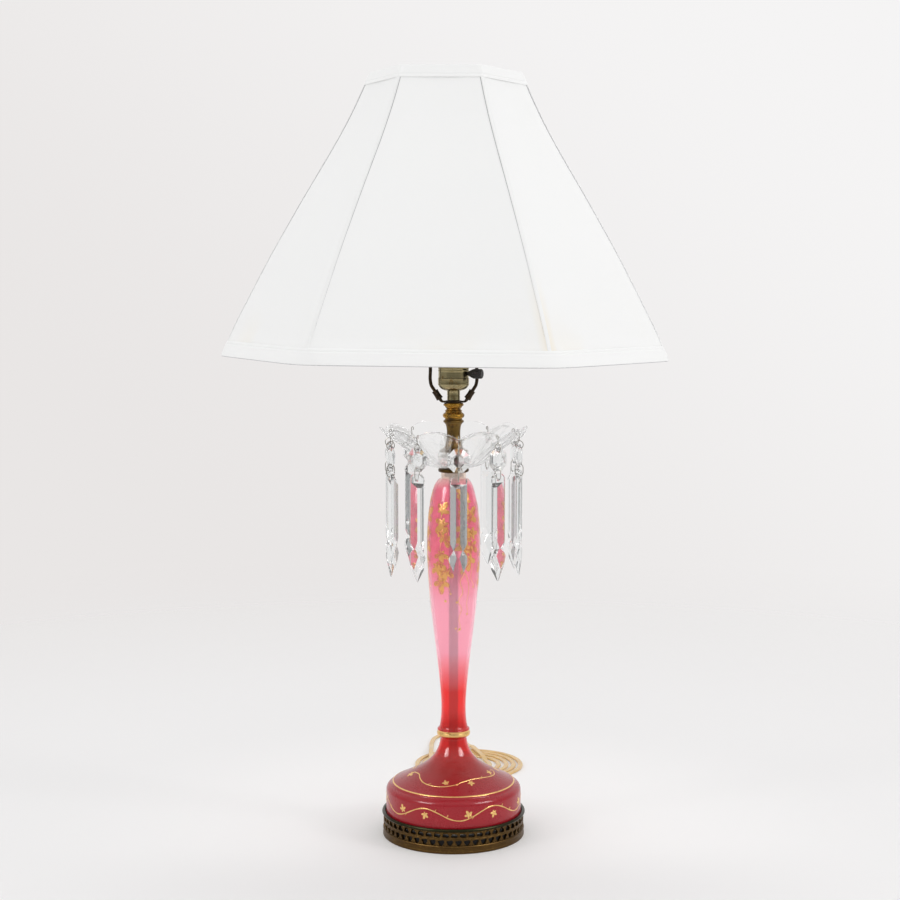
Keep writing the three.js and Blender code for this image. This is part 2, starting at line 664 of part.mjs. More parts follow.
// Column: a flared base and a ringed top, both turned
piece('column_base', bored([
  [COLUMN_FOOT_RADIUS, 0],
  [COLUMN_FOOT_RADIUS - 1.4, 2],
  [COLUMN_SHAFT_RADIUS + 2.4, 4.8],
  [COLUMN_SHAFT_RADIUS + 0.9, 9],
  [COLUMN_SHAFT_RADIUS, 15.2],
  [COLUMN_SHAFT_RADIUS + 0.7, 26.7],
  [COLUMN_HEAD_RADIUS - 1.2, COLUMN_BASE_HEIGHT - 4.4],
  [COLUMN_HEAD_RADIUS, COLUMN_BASE_HEIGHT - 2.3],
  [COLUMN_HEAD_RADIUS - 1.6, COLUMN_BASE_HEIGHT],
], pipeHole, MEDIUM_SIDES), antiqueBrass, columnSeat);

piece('column_top', bored([
  [COLUMN_RIDGE_RADIUS - 2.3, 0],
  [COLUMN_RIDGE_RADIUS - 0.8, 2],
  [COLUMN_RIDGE_RADIUS, 3.6],
  [COLUMN_RIDGE_RADIUS - 3, 7.3],
  [COLUMN_SHAFT_RADIUS + 0.3, 9.4],
  [COLUMN_SHAFT_RADIUS + 1.5, COLUMN_TOP_HEIGHT - 4.2],
  [COLUMN_TOP_RADIUS, COLUMN_TOP_HEIGHT - 1.6],
  [COLUMN_TOP_RADIUS - 0.9, COLUMN_TOP_HEIGHT],
], pipeHole, MEDIUM_SIDES), antiqueBrass, columnTopSeat);

// Harp saddle: a plate with two wings and a sloping prong on each
const legUp = [Math.cos(LEG_SLOPE), Math.sin(LEG_SLOPE)];
const prongFoot = [WING_REACH - HARP_WIRE_RADIUS, saddleSeat + SADDLE_THICKNESS / 2];
const onLeg = (side, length) => new THREE.Vector3(
  side * (prongFoot[0] + legUp[0] * length), 0, prongFoot[1] + legUp[1] * length,
);
const straight = (from, to) => new THREE.LineCurve3(from, to);

function harpSaddle() {
  const plate = bored([
    [SADDLE_RADIUS, 0], [SADDLE_RADIUS, SADDLE_THICKNESS],
  ], pipeHole, MEDIUM_SIDES).translate(0, 0, saddleSeat);
  const reach = WING_REACH - pipeHole - 1;
  const middle = (WING_REACH + pipeHole + 1) / 2;
  const parts = [-1, 1].flatMap((side) => [
    new THREE.BoxGeometry(reach, WING_WIDTH, SADDLE_THICKNESS)
      .translate(side * middle, 0, saddleSeat + SADDLE_THICKNESS / 2),
    wire(straight(onLeg(side, 0), onLeg(side, PRONG_LENGTH)), HARP_WIRE_RADIUS, 8, 1),
  ]);
  return joined([plate, ...parts]);
}
piece('harp_saddle', harpSaddle(), darkBronze);

// Sleeves: short tubes over the joints between prongs and harp legs
for (const [name, side] of [['harp_sleeve_left', -1], ['harp_sleeve_right', 1]]) {
  const sleeve = bored([
    [SLEEVE_RADIUS, 0], [SLEEVE_RADIUS, SLEEVE_LENGTH],
  ], HARP_WIRE_RADIUS + SLEEVE_CLEARANCE, SMALL_SIDES);
  const mesh = piece(name, sleeve, darkBronze);
  mesh.rotation.y = side * (Math.PI / 2 - LEG_SLOPE);
  mesh.position.copy(onLeg(side, SLEEVE_RAISE));
}

// Harp: a wire hoop from sleeve to sleeve, with a plate and a threaded stud on top
function harpShape() {
  const bend = (LEG_HALF_WIDTH - prongFoot[0]) / legUp[0];
  const legEnd = bend - 2.5;
  const rise = harpTop - prongFoot[1];
  const legs = [-1, 1].map((s) => {
    const leg = straight(onLeg(s, PRONG_LENGTH + GAP), onLeg(s, legEnd));
    return wire(leg, HARP_WIRE_RADIUS, 6, 1);
  });
  const hoopKey = (x, share) => new THREE.Vector3(x, 0, prongFoot[1] + share * rise);
  const side = (s) => [
    onLeg(s, legEnd - 1),
    onLeg(s, legEnd + 1),
    new THREE.Vector3(s * (LEG_HALF_WIDTH + 0.4), 0, prongFoot[1] + legUp[1] * bend + 5),
    hoopKey(s * (LEG_HALF_WIDTH + 0.8), 0.13),
    hoopKey(s * (LEG_HALF_WIDTH + HARP_HALF_WIDTH) * 0.52, 0.24),
    hoopKey(s * HARP_HALF_WIDTH, 0.46),
    hoopKey(s * HARP_HALF_WIDTH * 0.9, 0.7),
    hoopKey(s * HARP_HALF_WIDTH * 0.55, 0.9),
  ];
  const crownHeight = harpTop - HARP_PLATE_THICKNESS - HARP_WIRE_RADIUS + 0.6;
  const crown = new THREE.Vector3(0, 0, crownHeight);
  const hoop = new THREE.CatmullRomCurve3([...side(-1), crown, ...side(1).reverse()]);
  const plate = turned([
    [0, -HARP_PLATE_THICKNESS], [HARP_PLATE_RADIUS, -HARP_PLATE_THICKNESS], [HARP_PLATE_RADIUS, 0],
    [STUD_RADIUS, 0], [STUD_RADIUS, STUD_LENGTH], [0, STUD_LENGTH],
  ], SMALL_SIDES);
  plate.translate(0, 0, harpTop);
  return joined([...legs, wire(hoop, HARP_WIRE_RADIUS, 6, 40), plate]);
}
piece('harp', harpShape(), darkBronze);

// Socket: cap, shell, paper liner and the moulded inside with its screw shell
const capBore = SOCKET_CAP_RADIUS - SHEET_BRASS;
const bowlTop = SOCKET_NECK_HEIGHT + SOCKET_BOWL_HEIGHT;
const rimTop = bowlTop + SOCKET_CAP_RIM;
piece('socket_cap', turnedRing([
  [pipeHole, 0],
  [SOCKET_NECK_RADIUS, 0],
  [SOCKET_NECK_RADIUS, SOCKET_NECK_HEIGHT],
  [SOCKET_CAP_RADIUS * 0.72, SOCKET_NECK_HEIGHT + SOCKET_BOWL_HEIGHT * 0.25],
  [SOCKET_CAP_RADIUS * 0.93, SOCKET_NECK_HEIGHT + SOCKET_BOWL_HEIGHT * 0.65],
  [SOCKET_CAP_RADIUS, bowlTop],
  [SOCKET_CAP_RADIUS, rimTop],
  [capBore, rimTop],
  [capBore, bowlTop],
  [capBore * 0.9, bowlTop - SOCKET_BOWL_HEIGHT * 0.3],
  [pipeHole, SOCKET_NECK_HEIGHT + SHEET_BRASS],
], MEDIUM_SIDES), lightBrass, socketSeat);

// Direction and height of the turn knob's spindle
const knobHeight = socketRimTop + KNOB_ABOVE_CAP;
const liesAtKnob = (geometry) => geometry.rotateX(Math.PI / 2).rotateZ(KNOB_TURN);

function spindleHole(radius, from) {
  const hole = slab(polygon(radius, 12), KNOB_START).translate(0, 0, from);
  return solid(liesAtKnob(hole).translate(0, 0, knobHeight));
}

const skirtRadius = capBore - GAP;
const shellBottom = socketRimTop - SOCKET_SKIRT;
const shellTop = shellBottom + SOCKET_SHELL_HEIGHT;
const shellBore = Math.min(SOCKET_SHELL_RADIUS, skirtRadius) - SHEET_BRASS;
const spindleBore = KNOB_STEM_RADIUS + GAP;
const shell = turnedRing([
  [shellBore, shellBottom],
  [skirtRadius, shellBottom],
  [skirtRadius, socketRimTop + GAP],
  [SOCKET_SHELL_RADIUS, socketRimTop + 2 * GAP],
  [SOCKET_SHELL_RADIUS, shellTop - 1],
  [SOCKET_SHELL_RADIUS + 0.6, shellTop],
  [shellBore, shellTop],
], MEDIUM_SIDES);
piece('socket_shell', solid(shell).subtract(spindleHole(spindleBore, KNOB_STEM_START)), lightBrass);

const linerRadius = shellBore - GAP;
const linerBore = linerRadius - LINER_WALL;
const liner = bored([
  [linerRadius, shellBottom],
  [linerRadius, shellTop - 1.5],
], linerBore, MEDIUM_SIDES);
piece('socket_liner', solid(liner).subtract(spindleHole(spindleBore, KNOB_STEM_START)), linerPaper);

const insideRadius = linerBore - GAP;
const screwBore = insideRadius - SCREW_SHELL_WALL;
const insideBottom = shellBottom;
const switchTop = insideBottom + SWITCH_BODY_HEIGHT;
const inside = turned([
  [0, insideBottom],
  [insideRadius, insideBottom],
  [insideRadius, switchTop + SCREW_SHELL_HEIGHT],
  [screwBore, switchTop + SCREW_SHELL_HEIGHT],
  [screwBore, switchTop],
  [0, switchTop],
], MEDIUM_SIDES);
piece('socket_inside', solid(inside).subtract(spindleHole(spindleBore, KNOB_STEM_START - GAP)), blackPlastic);

// Turn knob: a spindle, a cone and a fluted grip
function switchKnob() {
  const stem = turned([
    [0, KNOB_STEM_START],
    [KNOB_STEM_RADIUS, KNOB_STEM_START],
    [KNOB_STEM_RADIUS, KNOB_COLLAR_START],
    [KNOB_RADIUS * 0.84, KNOB_START - 0.8],
    [KNOB_RADIUS * 0.84, KNOB_START + 1],
    [0, KNOB_START + 1],
  ], SMALL_SIDES);
  const grip = new THREE.Shape(Array.from({ length: 2 * KNOB_FLUTES }, (_, i) => {
    const r = i % 2 ? KNOB_RADIUS : KNOB_RADIUS * 0.88;
    const angle = (Math.PI * i) / KNOB_FLUTES;
    return new THREE.Vector2(r * Math.cos(angle), r * Math.sin(angle));
  }));
  const body = joined([stem, slab(grip, KNOB_LENGTH).translate(0, 0, KNOB_START)]);
  return liesAtKnob(geometryOf(body));
}
piece('switch_knob', switchKnob(), blackPlastic, knobHeight);

// Bulb: a thin envelope on a screw base, open only at the contact
function bulbShape() {
  const baseRadius = screwBore - 0.5;
  const centre = BULB_HEIGHT - BULB_RADIUS;
  const neckRadius = baseRadius + 0.8;
  const globe = [-42, -15, 15, 45, 70, 90].map((degrees) => {
    const angle = THREE.MathUtils.degToRad(degrees);
    return [BULB_RADIUS * Math.cos(angle), centre + BULB_RADIUS * Math.sin(angle)];
  });
  const outer = [
    [4, 0],
    [5, 1.5],
    [baseRadius, 5],
    [baseRadius, BULB_BASE_HEIGHT],
    [neckRadius, BULB_BASE_HEIGHT + 3],
    ...globe,
  ];
  const opening = [[1, 0], ...outer.slice(0, -1), [0, BULB_HEIGHT]];
  const inner = [
    [0, BULB_HEIGHT - BULB_WALL],
    ...globe.slice(0, -1).reverse().map(([r, z]) => [
      r * (1 - BULB_WALL / BULB_RADIUS), centre + (z - centre) * (1 - BULB_WALL / BULB_RADIUS),
    ]),
    [neckRadius - BULB_WALL, BULB_BASE_HEIGHT + 3],
    [baseRadius - BULB_WALL, BULB_BASE_HEIGHT],
    [baseRadius - BULB_WALL, 6],
    [1, 3],
  ];
  return turned([...opening, ...inner, [1, 0]], BULB_SIDES);
}
piece('bulb', bulbShape(), bulbGlass, switchTop + 2 * GAP);

// Shade corner: its outer radius at a drop below the top edge, from a straight slant that is
// drawn in near the top and stands out below the middle; a flat panel joins two corners
const shadeKeys = [
  [0, 0],
  [0.12, -SHADE_WAIST],
  [0.24, -SHADE_WAIST * 0.88],
  [0.44, SHADE_SHOULDER * 0.4],
  [0.64, SHADE_SHOULDER],
  [0.93, SHADE_SHOULDER],
  [1, SHADE_SHOULDER * 0.16],
];
const shadeDrops = shadeKeys.map(([share]) => share * SHADE_HEIGHT);

function shadeSide(drop) {
  const share = drop / SHADE_HEIGHT;
  const next = shadeKeys.findIndex(([key], i) => i > 0 && share <= key + 1e-9);
  const [key0, out0] = shadeKeys[next - 1];
  const [key1, out1] = shadeKeys[next];
  const bulge = out0 + ((out1 - out0) * (share - key0)) / (key1 - key0);
  return SHADE_TOP_RADIUS + (SHADE_BOTTOM_RADIUS - SHADE_TOP_RADIUS) * share + bulge;
}

// A skin of the shade over some drops, with its two faces at offsets from the side
function shadeOutline(drops, inside, outside) {
  const face = (offset) => drops.map((drop) => [shadeSide(drop) + offset, -drop]);
  return [...face(outside), ...face(inside).reverse()];
}
const shadeBand = (drops, inside, outside) => (
  turnedRing(shadeOutline(drops, inside, outside), SHADE_RIBS, SHADE_TURN)
);
const trimInside = GAP;
const trimOutside = GAP + TRIM_THICKNESS;
const trimBottomStart = SHADE_HEIGHT - TRIM_BOTTOM_HEIGHT;
piece('shade_cover', shadeBand(shadeDrops, -SHADE_FABRIC, 0), shadeFabric, shadeTop);
const topBand = shadeBand([0, TRIM_TOP_HEIGHT], trimInside, trimOutside);
piece('shade_trim_top', topBand, shadeTrim, shadeTop);
const bottomBand = shadeBand([trimBottomStart, SHADE_HEIGHT], trimInside, trimOutside);
piece('shade_trim_bottom', bottomBand, shadeTrim, shadeTop);

// Wire frame: two hoops, the ribs under the seams and a spider with a recessed washer
function shadeFrame() {
  const cornerDrop = FRAME_WIRE_RADIUS * Math.tan(Math.PI / SHADE_RIBS);
  const ribOuter = -(SHADE_FABRIC + GAP + cornerDrop);
  const ribInner = ribOuter - 2 * FRAME_WIRE_RADIUS;
  const centreline = (drop) => shadeSide(drop) + (ribOuter + ribInner) / 2;
  const lowest = SHADE_HEIGHT - FRAME_INSET;
  const hoops = [FRAME_INSET, lowest].map((drop) => {
    const hoop = new THREE.TorusGeometry(centreline(drop), FRAME_WIRE_RADIUS, 4, SHADE_RIBS);
    return hoop.rotateZ(SHADE_TURN - Math.PI / 2).translate(0, 0, -drop);
  });
  const ribDrops = [FRAME_INSET, ...shadeDrops.slice(1, -1), lowest];
  const ribShape = outlineShape(shadeOutline(ribDrops, ribInner, ribOuter));
  const ribs = Array.from({ length: SHADE_RIBS }, (_, i) => {
    const rib = slab(ribShape, 2 * FRAME_WIRE_RADIUS).translate(0, 0, -FRAME_WIRE_RADIUS);
    rib.rotateX(Math.PI / 2).rotateZ(-Math.PI / 2);
    return rib.rotateZ(SHADE_TURN + (2 * Math.PI * i) / SHADE_RIBS);
  });
  const arms = Array.from({ length: SPIDER_ARMS }, (_, i) => {
    const turn = SHADE_TURN + (2 * Math.PI * i) / SPIDER_ARMS;
    const path = straight(
      new THREE.Vector3(0, -(STUD_RADIUS + GAP + 2.5), -SHADE_RECESS + SPIDER_WASHER_THICKNESS),
      new THREE.Vector3(0, -centreline(FRAME_INSET), -FRAME_INSET),
    );
    return wire(path, FRAME_WIRE_RADIUS, 4, 1).rotateZ(turn);
  });
  const washerRing = bored([
    [SPIDER_WASHER_RADIUS, -SHADE_RECESS],
    [SPIDER_WASHER_RADIUS, -SHADE_RECESS + SPIDER_WASHER_THICKNESS],
  ], STUD_RADIUS + GAP, SMALL_SIDES);
  return joined([washerRing, ...hoops, ...ribs, ...arms]);
}
piece('shade_frame', shadeFrame(), steel, shadeTop);

// Finial on the harp's stud, clear of the spider's arms
const finialSeat = spiderSeat + SPIDER_WASHER_THICKNESS + FRAME_WIRE_RADIUS + GAP;
const finialBore = STUD_RADIUS + GAP;
piece('finial', turned([
  [finialBore, 0],
  [finialBore + 1.6, 0],
  [finialBore + 1.6, FINIAL_HEIGHT * 0.16],
  [FINIAL_RADIUS * 0.55, FINIAL_HEIGHT * 0.28],
  [FINIAL_RADIUS, FINIAL_HEIGHT * 0.5],
  [FINIAL_RADIUS * 0.86, FINIAL_HEIGHT * 0.72],
  [FINIAL_RADIUS * 0.4, FINIAL_HEIGHT * 0.9],
  [0, FINIAL_HEIGHT],
  [0, STUD_LENGTH],
  [finialBore, STUD_LENGTH - 1],
  [finialBore, 0],
], SMALL_SIDES), antiqueBrass, finialSeat);

// Cord outlet bushing in the back of the ring
const outletInner = seatPlateRadius + GAP;
const outletWall = ringBandRadius + GAP;
const outletFace = outletWall + OUTLET_FLANGE_THICKNESS;
const bushing = bored([
  [OUTLET_RADIUS - GAP, 0],
  [OUTLET_RADIUS - GAP, outletWall - outletInner],
  [OUTLET_FLANGE_RADIUS, outletWall - outletInner],
  [OUTLET_FLANGE_RADIUS, outletFace - outletInner],
], OUTLET_BORE, 12).rotateX(-Math.PI / 2);
piece('cord_bushing', bushing.translate(0, outletInner, 0), blackPlastic, outletHeight);

// A flat cord's path: its width always lies level, and it never sinks into the table
const onTable = CORD_THICKNESS / 2 + CORD_LIFT;
class CordPath extends THREE.CatmullRomCurve3 {
  getPoint(t, target = new THREE.Vector3()) {
    const point = super.getPoint(t, target);
    point.z = Math.max(point.z, onTable);
    return point;
  }

  computeFrenetFrames(segments) {
    const tangents = [];
    const normals = [];
    const binormals = [];
    for (let i = 0; i <= segments; i += 1) {
      const tangent = this.getTangentAt(i / segments);
      const level = new THREE.Vector3(tangent.y, -tangent.x, 0);
      if (level.length() < 0.02) level.set(1, 0, 0);
      level.normalize();
      tangents.push(tangent);
      normals.push(level);
      binormals.push(tangent.clone().cross(level).normalize());
    }
    return { tangents, normals, binormals };
  }
}

const asPath = (points) => new CordPath(points.map(([x, y, z]) => new THREE.Vector3(x, y, z)));
const halfWidth = CORD_WIDTH / 2;
const halfThickness = CORD_THICKNESS / 2;
const cordSection = outlineShape([
  [halfWidth, 0], [halfWidth - 1.1, halfThickness], [1.1 - halfWidth, halfThickness],
  [-halfWidth, 0], [1.1 - halfWidth, -halfThickness], [halfWidth - 1.1, -halfThickness],
]);
const cordAlong = (points, steps) => (
  new THREE.ExtrudeGeometry(cordSection, { steps, extrudePath: asPath(points) })
);

// Inside the lamp the cord runs from the socket down the pipe and out to the bushing
piece('inner_cord', cordAlong([
  [0, 0, insideBottom - GAP],
  [0, 0, pipeTop - 10],
  [0, 0, pipeBottom + (pipeTop - pipeBottom) * 0.09],
  [0, 0, pipeBottom],
  [0, outletInner * 0.05, pipeBottom * 0.46],
  [0, outletInner * 0.2, onTable * 2],
  [0, outletInner * 0.52, onTable * 2.4],
  [0, outletInner * 0.81, outletHeight * 0.77],
  [0, outletInner - 2, outletHeight],
  [0, outletFace - GAP / 2, outletHeight],
], 28), goldCord);

// Free lead: down to the table, over the coil, round one loose loop and back into the coil
const overCoil = onTable + CORD_THICKNESS + 0.5;
const coilStart = [
  COIL_CENTRE[0] + COIL_START_RADIUS * Math.cos(COIL_START_ANGLE),
  COIL_CENTRE[1] + COIL_START_RADIUS * Math.sin(COIL_START_ANGLE),
];
const leadRoute = [
  [0, outletFace + GAP / 2, outletHeight],
  [-1, 88, outletHeight - 1.2],
  [-6, 103, 9],
  [-13, 118, 3.4],
  [-20, 134, onTable],
  [-25, 154, onTable],
  [-27, 176, onTable],
  [-27, 191, onTable + 0.8],
  [-27, 204, overCoil],
  [-27, 240, overCoil],
  [-27, 285, overCoil],
  [-27, 319, overCoil],
  [-27, 333, onTable + 0.8],
  [-27, 348, onTable],
  [-26, 368, onTable],
  [-22, 387, onTable],
  [-12, 400, onTable],
  [0, 401, onTable],
  [9, 391, onTable],
  [13, 375, onTable],
  [16, 358, onTable],
  [20, 344, onTable + 0.8],
  [24, 331, overCoil],
  [28, 318, overCoil],
  [31, 306, overCoil],
  [34, 295.5, overCoil],
  [36, 288.5, overCoil],
  [37.3, 284, 4.1],
  [38.6, 279.5, 2.3],
  [39.7, 276, onTable],
  [coilStart[0] - 0.1, coilStart[1] + 0.3, onTable],
];
piece('cord_lead', cordAlong(leadRoute, 46), goldCord);

// Coil: loops that spiral out flat on the table, clockwise, and leave straight for the plug
const COIL_STEPS = 24;
function coilPoints() {
  const count = Math.round(COIL_TURNS * COIL_STEPS);
  const points = Array.from({ length: count + 1 }, (_, i) => {
    const turn = (COIL_TURNS * i) / count;
    const angle = COIL_START_ANGLE - 2 * Math.PI * turn;
    const radius = COIL_START_RADIUS + COIL_FIRST_PITCH * turn ** COIL_CLOSING;
    return [
      COIL_CENTRE[0] + radius * Math.cos(angle),
      COIL_CENTRE[1] + radius * Math.sin(angle),
      onTable,
    ];
  });
  const [a, b] = points.slice(-2);
  const length = Math.hypot(b[0] - a[0], b[1] - a[1]);
  const way = [(b[0] - a[0]) / length, (b[1] - a[1]) / length];
  const tail = [0.25, 0.5, 0.75, 1].map((share) => [
    b[0] + way[0] * COIL_TAIL * share, b[1] + way[1] * COIL_TAIL * share, onTable,
  ]);
  return { points: [...points, ...tail], way };
}
const coil = coilPoints();
const coilPath = asPath(coil.points);
piece('cord_coil', cordAlong(coil.points, coil.points.length - 1), goldCord);

// The least gap between turns of the coil, measured on points along its centreline
const coilLine = coilPath.getSpacedPoints(500);
const coilStep = coilPath.getLength() / 500;
let leastGap = Infinity;
for (let i = 0; i < coilLine.length; i += 1) {
  for (let j = i + Math.ceil((4 * CORD_WIDTH) / coilStep); j < coilLine.length; j += 1) {
    leastGap = Math.min(leastGap, coilLine[i].distanceTo(coilLine[j]) - CORD_WIDTH);
  }
}
const leadLength = asPath(leadRoute).getLength();
console.log(`cord coil: least gap ${leastGap.toFixed(2)} mm, length ${coilPath.getLength().toFixed(0)} mm`);
console.log(`cord lead: length ${leadLength.toFixed(0)} mm`);

// Plug at the coil's end, lying flat
function plugShape() {
  const halfBody = PLUG_WIDTH / 2;
  const body = outlineShape([
    [-halfWidth - 0.5, 0], [halfWidth + 0.5, 0], [halfBody, PLUG_LENGTH * 0.55], [halfBody, PLUG_LENGTH],
    [-halfBody, PLUG_LENGTH], [-halfBody, PLUG_LENGTH * 0.55],
  ]);
  const blade = (x) => new THREE.BoxGeometry(BLADE_THICKNESS, BLADE_LENGTH + 1, BLADE_WIDTH)
    .translate(x, PLUG_LENGTH + (BLADE_LENGTH - 1) / 2, PLUG_THICKNESS / 2);
  return joined([slab(body, PLUG_THICKNESS), blade(BLADE_SPACING / 2), blade(-BLADE_SPACING / 2)]);
}
const plug = piece('plug', plugShape(), goldCord, CORD_LIFT);
const coilEnd = coil.points[coil.points.length - 1];
plug.position.x = coilEnd[0] + coil.way[0] * GAP;
plug.position.y = coilEnd[1] + coil.way[1] * GAP;
plug.rotation.z = Math.atan2(-coil.way[0], coil.way[1]);

export default lamp;
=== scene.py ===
"""An art glass table lamp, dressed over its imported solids.

A tall blown glass vase stands in a pierced gallery ring. Above it come a scalloped glass drip
pan hung with cut glass pendants, a turned brass column, a lamp socket with a harp, and a large
fabric shade. Lengths are in metres, +Z is up and the front of the lamp faces -Y. Azimuths are
measured round the lamp's axis from -Y towards +X.
"""

import math

import bmesh
import bpy
import numpy as np
from bpy.props import FloatProperty, FloatVectorProperty, IntProperty, PointerProperty
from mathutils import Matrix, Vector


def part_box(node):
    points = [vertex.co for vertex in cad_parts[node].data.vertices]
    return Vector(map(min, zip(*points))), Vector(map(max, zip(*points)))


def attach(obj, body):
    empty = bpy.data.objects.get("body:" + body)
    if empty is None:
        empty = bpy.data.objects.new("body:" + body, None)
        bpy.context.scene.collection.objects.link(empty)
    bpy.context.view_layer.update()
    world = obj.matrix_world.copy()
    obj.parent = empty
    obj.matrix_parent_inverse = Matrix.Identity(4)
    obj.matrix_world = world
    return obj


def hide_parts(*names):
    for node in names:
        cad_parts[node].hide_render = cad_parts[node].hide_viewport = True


bl_info = {
    "name": "Art Glass Table Lamp",
    "version": (1, 0, 0),
    "blender": (4, 5, 0),
    "location": "3D View > Sidebar > Lamp",
    "description": "Dresses an art glass table lamp with glass, gilding, brass, cord and shade",
    "category": "Object",
}

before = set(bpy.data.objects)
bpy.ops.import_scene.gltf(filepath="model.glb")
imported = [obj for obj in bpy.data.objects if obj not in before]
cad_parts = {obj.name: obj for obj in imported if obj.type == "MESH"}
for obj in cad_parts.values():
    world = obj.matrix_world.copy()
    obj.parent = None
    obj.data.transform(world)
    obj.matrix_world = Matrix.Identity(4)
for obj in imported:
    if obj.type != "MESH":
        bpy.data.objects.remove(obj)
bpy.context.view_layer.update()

TAU = 2 * math.pi
MM = 0.001
GAP = 0.3 * MM
STAND = "lamp_stand"
PENDANTS = 10
PENDANT_TURN = math.radians(4)
SHADE_TURN = math.radians(26)
SHADE_RIBS = 6
DOUBLES = 1e-7


def low(node):
    """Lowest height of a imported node."""
    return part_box(node)[0].z


def high(node):
    """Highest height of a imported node."""
    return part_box(node)[1].z


def middle_height(node):
    """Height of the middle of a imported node."""
    return (low(node) + high(node)) / 2


# Shapes


class Shape:
    """A surface as arrays: points, faces of four corners, a UV for each corner, a finish number."""

    def __init__(self, points, faces, uv, finish=0):
        self.points = points
        self.faces = faces
        self.uv = uv
        self.finish = finish


def volume_of(points, faces):
    """Sum over the faces of the signed volume of the wedge between the face and the origin."""
    a, b, c, d = (points[faces[:, k]] for k in range(4))
    first = np.einsum("ij,ij->i", a, np.cross(b, c))
    second = np.einsum("ij,ij->i", a, np.cross(c, d))
    return (first.sum() + second.sum()) / 6


def distances(line):
    """Distance of each point of a line from its first point, along the line."""
    return np.concatenate([[0], np.cumsum(np.linalg.norm(np.diff(line, axis=0), axis=1))])


def skin(points, around=True, loop=False, finish=0, flip=None):
    """Faces over a grid of points, rows first. around joins the last column to the first, and
    loop the last row to the first. U is the share of the columns, V the distance along the rows.
    Faces are turned to enclose a positive volume, unless flip says how they stand.
    """
    rows, columns = points.shape[:2]
    i, j = np.meshgrid(
        np.arange(rows if loop else rows - 1),
        np.arange(columns if around else columns - 1),
        indexing="ij",
    )
    corners = [(i, j), (i, j + 1), (i + 1, j + 1), (i + 1, j)]
    faces = np.stack([(a % rows) * columns + b % columns for a, b in corners], axis=-1)
    along = distances(np.concatenate([points[:, 0], points[:1, 0]]))
    uv = np.stack([np.stack([b / columns, along[a]], axis=-1) for a, b in corners], axis=-2)
    faces = faces.reshape(-1, 4)
    uv = uv.reshape(-1, 4, 2)
    flat = points.reshape(-1, 3)
    if flip is None:
        flip = volume_of(flat, faces) < 0
    if flip:
        faces = faces[:, ::-1]
        uv = uv[:, ::-1]
    return Shape(flat, faces, uv, finish)


def through(keys, count):
    """Evenly numbered points on a smooth curve through the keys. Between two keys it is the cubic
    whose end slopes come from the neighbours, weighed by the square roots of their distances.
    """
    keys = np.asarray(keys, float)
    first = 2 * keys[:1] - keys[1:2]
    last = 2 * keys[-1:] - keys[-2:-1]
    full = np.concatenate([first, keys, last])
    share = np.linspace(0, len(keys) - 1, count)
    k = np.minimum(share.astype(int), len(keys) - 2)
    t = (share - k)[:, None]
    a, b, c, d = (full[k + n] for n in range(4))
    ab, bc, cd = (
        np.sqrt(np.maximum(np.linalg.norm(q - p, axis=1), 1e-9))[:, None]
        for p, q in ((a, b), (b, c), (c, d))
    )
    start = ((b - a) / ab - (c - a) / (ab + bc) + (c - b) / bc) * bc
    end = ((c - b) / bc - (d - b) / (bc + cd) + (d - c) / cd) * bc
    square = 3 * (c - b) - 2 * start - end
    cube = 2 * (b - c) + start + end
    return b + start * t + square * t**2 + cube * t**3


def respaced(line, count):
    """Points at even distances along a line of points."""
    line = np.asarray(line, float)
    along = distances(line)
    wanted = np.linspace(0, along[-1], count)
    return np.stack([np.interp(wanted, along, line[:, k]) for k in range(line.shape[1])], axis=1)


def circle(count):
    """Even angles round a circle."""
    return TAU * np.arange(count) / count


def around_axis(radius, azimuth, height):
    """Points at a radius, an azimuth and a height."""
    radius, azimuth, height = np.broadcast_arrays(radius, azimuth, height)
    return np.stack([radius * np.sin(azimuth), -radius * np.cos(azimuth), height], axis=-1)


def lathe(profile, columns=64, loop=True, finish=0):
    """A turned surface: the profile's radius and height carried round the axis on a circle."""
    points = around_axis(profile[:, :1], circle(columns)[None, :], profile[:, 1:])
    return skin(points, loop=loop, finish=finish)


def turned(outline, seat=0.0, columns=72, loop=True):
    """A turned surface whose outline is written in millimetres above its seat."""
    return lathe(np.array(outline, float) * MM + np.array([0, seat]), columns, loop)


def unit(vectors):
    """The same vectors at length one."""
    return vectors / np.maximum(np.linalg.norm(vectors, axis=-1, keepdims=True), 1e-12)


def capped(rows):
    """The rows of a grid, with its first and last row drawn in to their middles at both ends."""
    start, end = (
        np.broadcast_to(row.mean(axis=1, keepdims=True), row.shape) for row in (rows[:1], rows[-1:])
    )
    return np.concatenate([start, rows, end])


def sweep(path, section, reference, loop=False, finish=0):
    """A section carried along a path: each point is the path's point, plus the section's first
    number sideways and its second upwards. Sideways is square to the path and to the reference.
    The section is the same everywhere, or one for each point. Open ends are capped.
    """
    if loop:
        tangent = unit(np.roll(path, -1, axis=0) - np.roll(path, 1, axis=0))
    else:
        tangent = unit(np.gradient(path, axis=0))
    side = unit(np.cross(tangent, np.broadcast_to(reference, tangent.shape)))
    up = np.cross(side, tangent)
    ring = path[:, None] + side[:, None] * section[..., :1] + up[:, None] * section[..., 1:]
    return skin(ring if loop else capped(ring), loop=loop, finish=finish)


def disc(radius, sides):
    """A round section."""
    angle = circle(sides)
    return np.stack([radius * np.cos(angle), radius * np.sin(angle)], axis=1)


def turned_by(shape, azimuth, radius=0.0):
    """The shape moved out to a radius in front of the axis, then turned to an azimuth."""
    x, y, z = shape.points.T
    y = y - radius
    cosine, sine = math.cos(azimuth), math.sin(azimuth)
    points = np.stack([x * cosine - y * sine, x * sine + y * cosine, z], axis=1)
    return Shape(points, shape.faces, shape.uv, shape.finish)


def moved(shape, offset):
    """The shape moved by an offset."""
    return Shape(shape.points + np.asarray(offset, float), shape.faces, shape.uv, shape.finish)


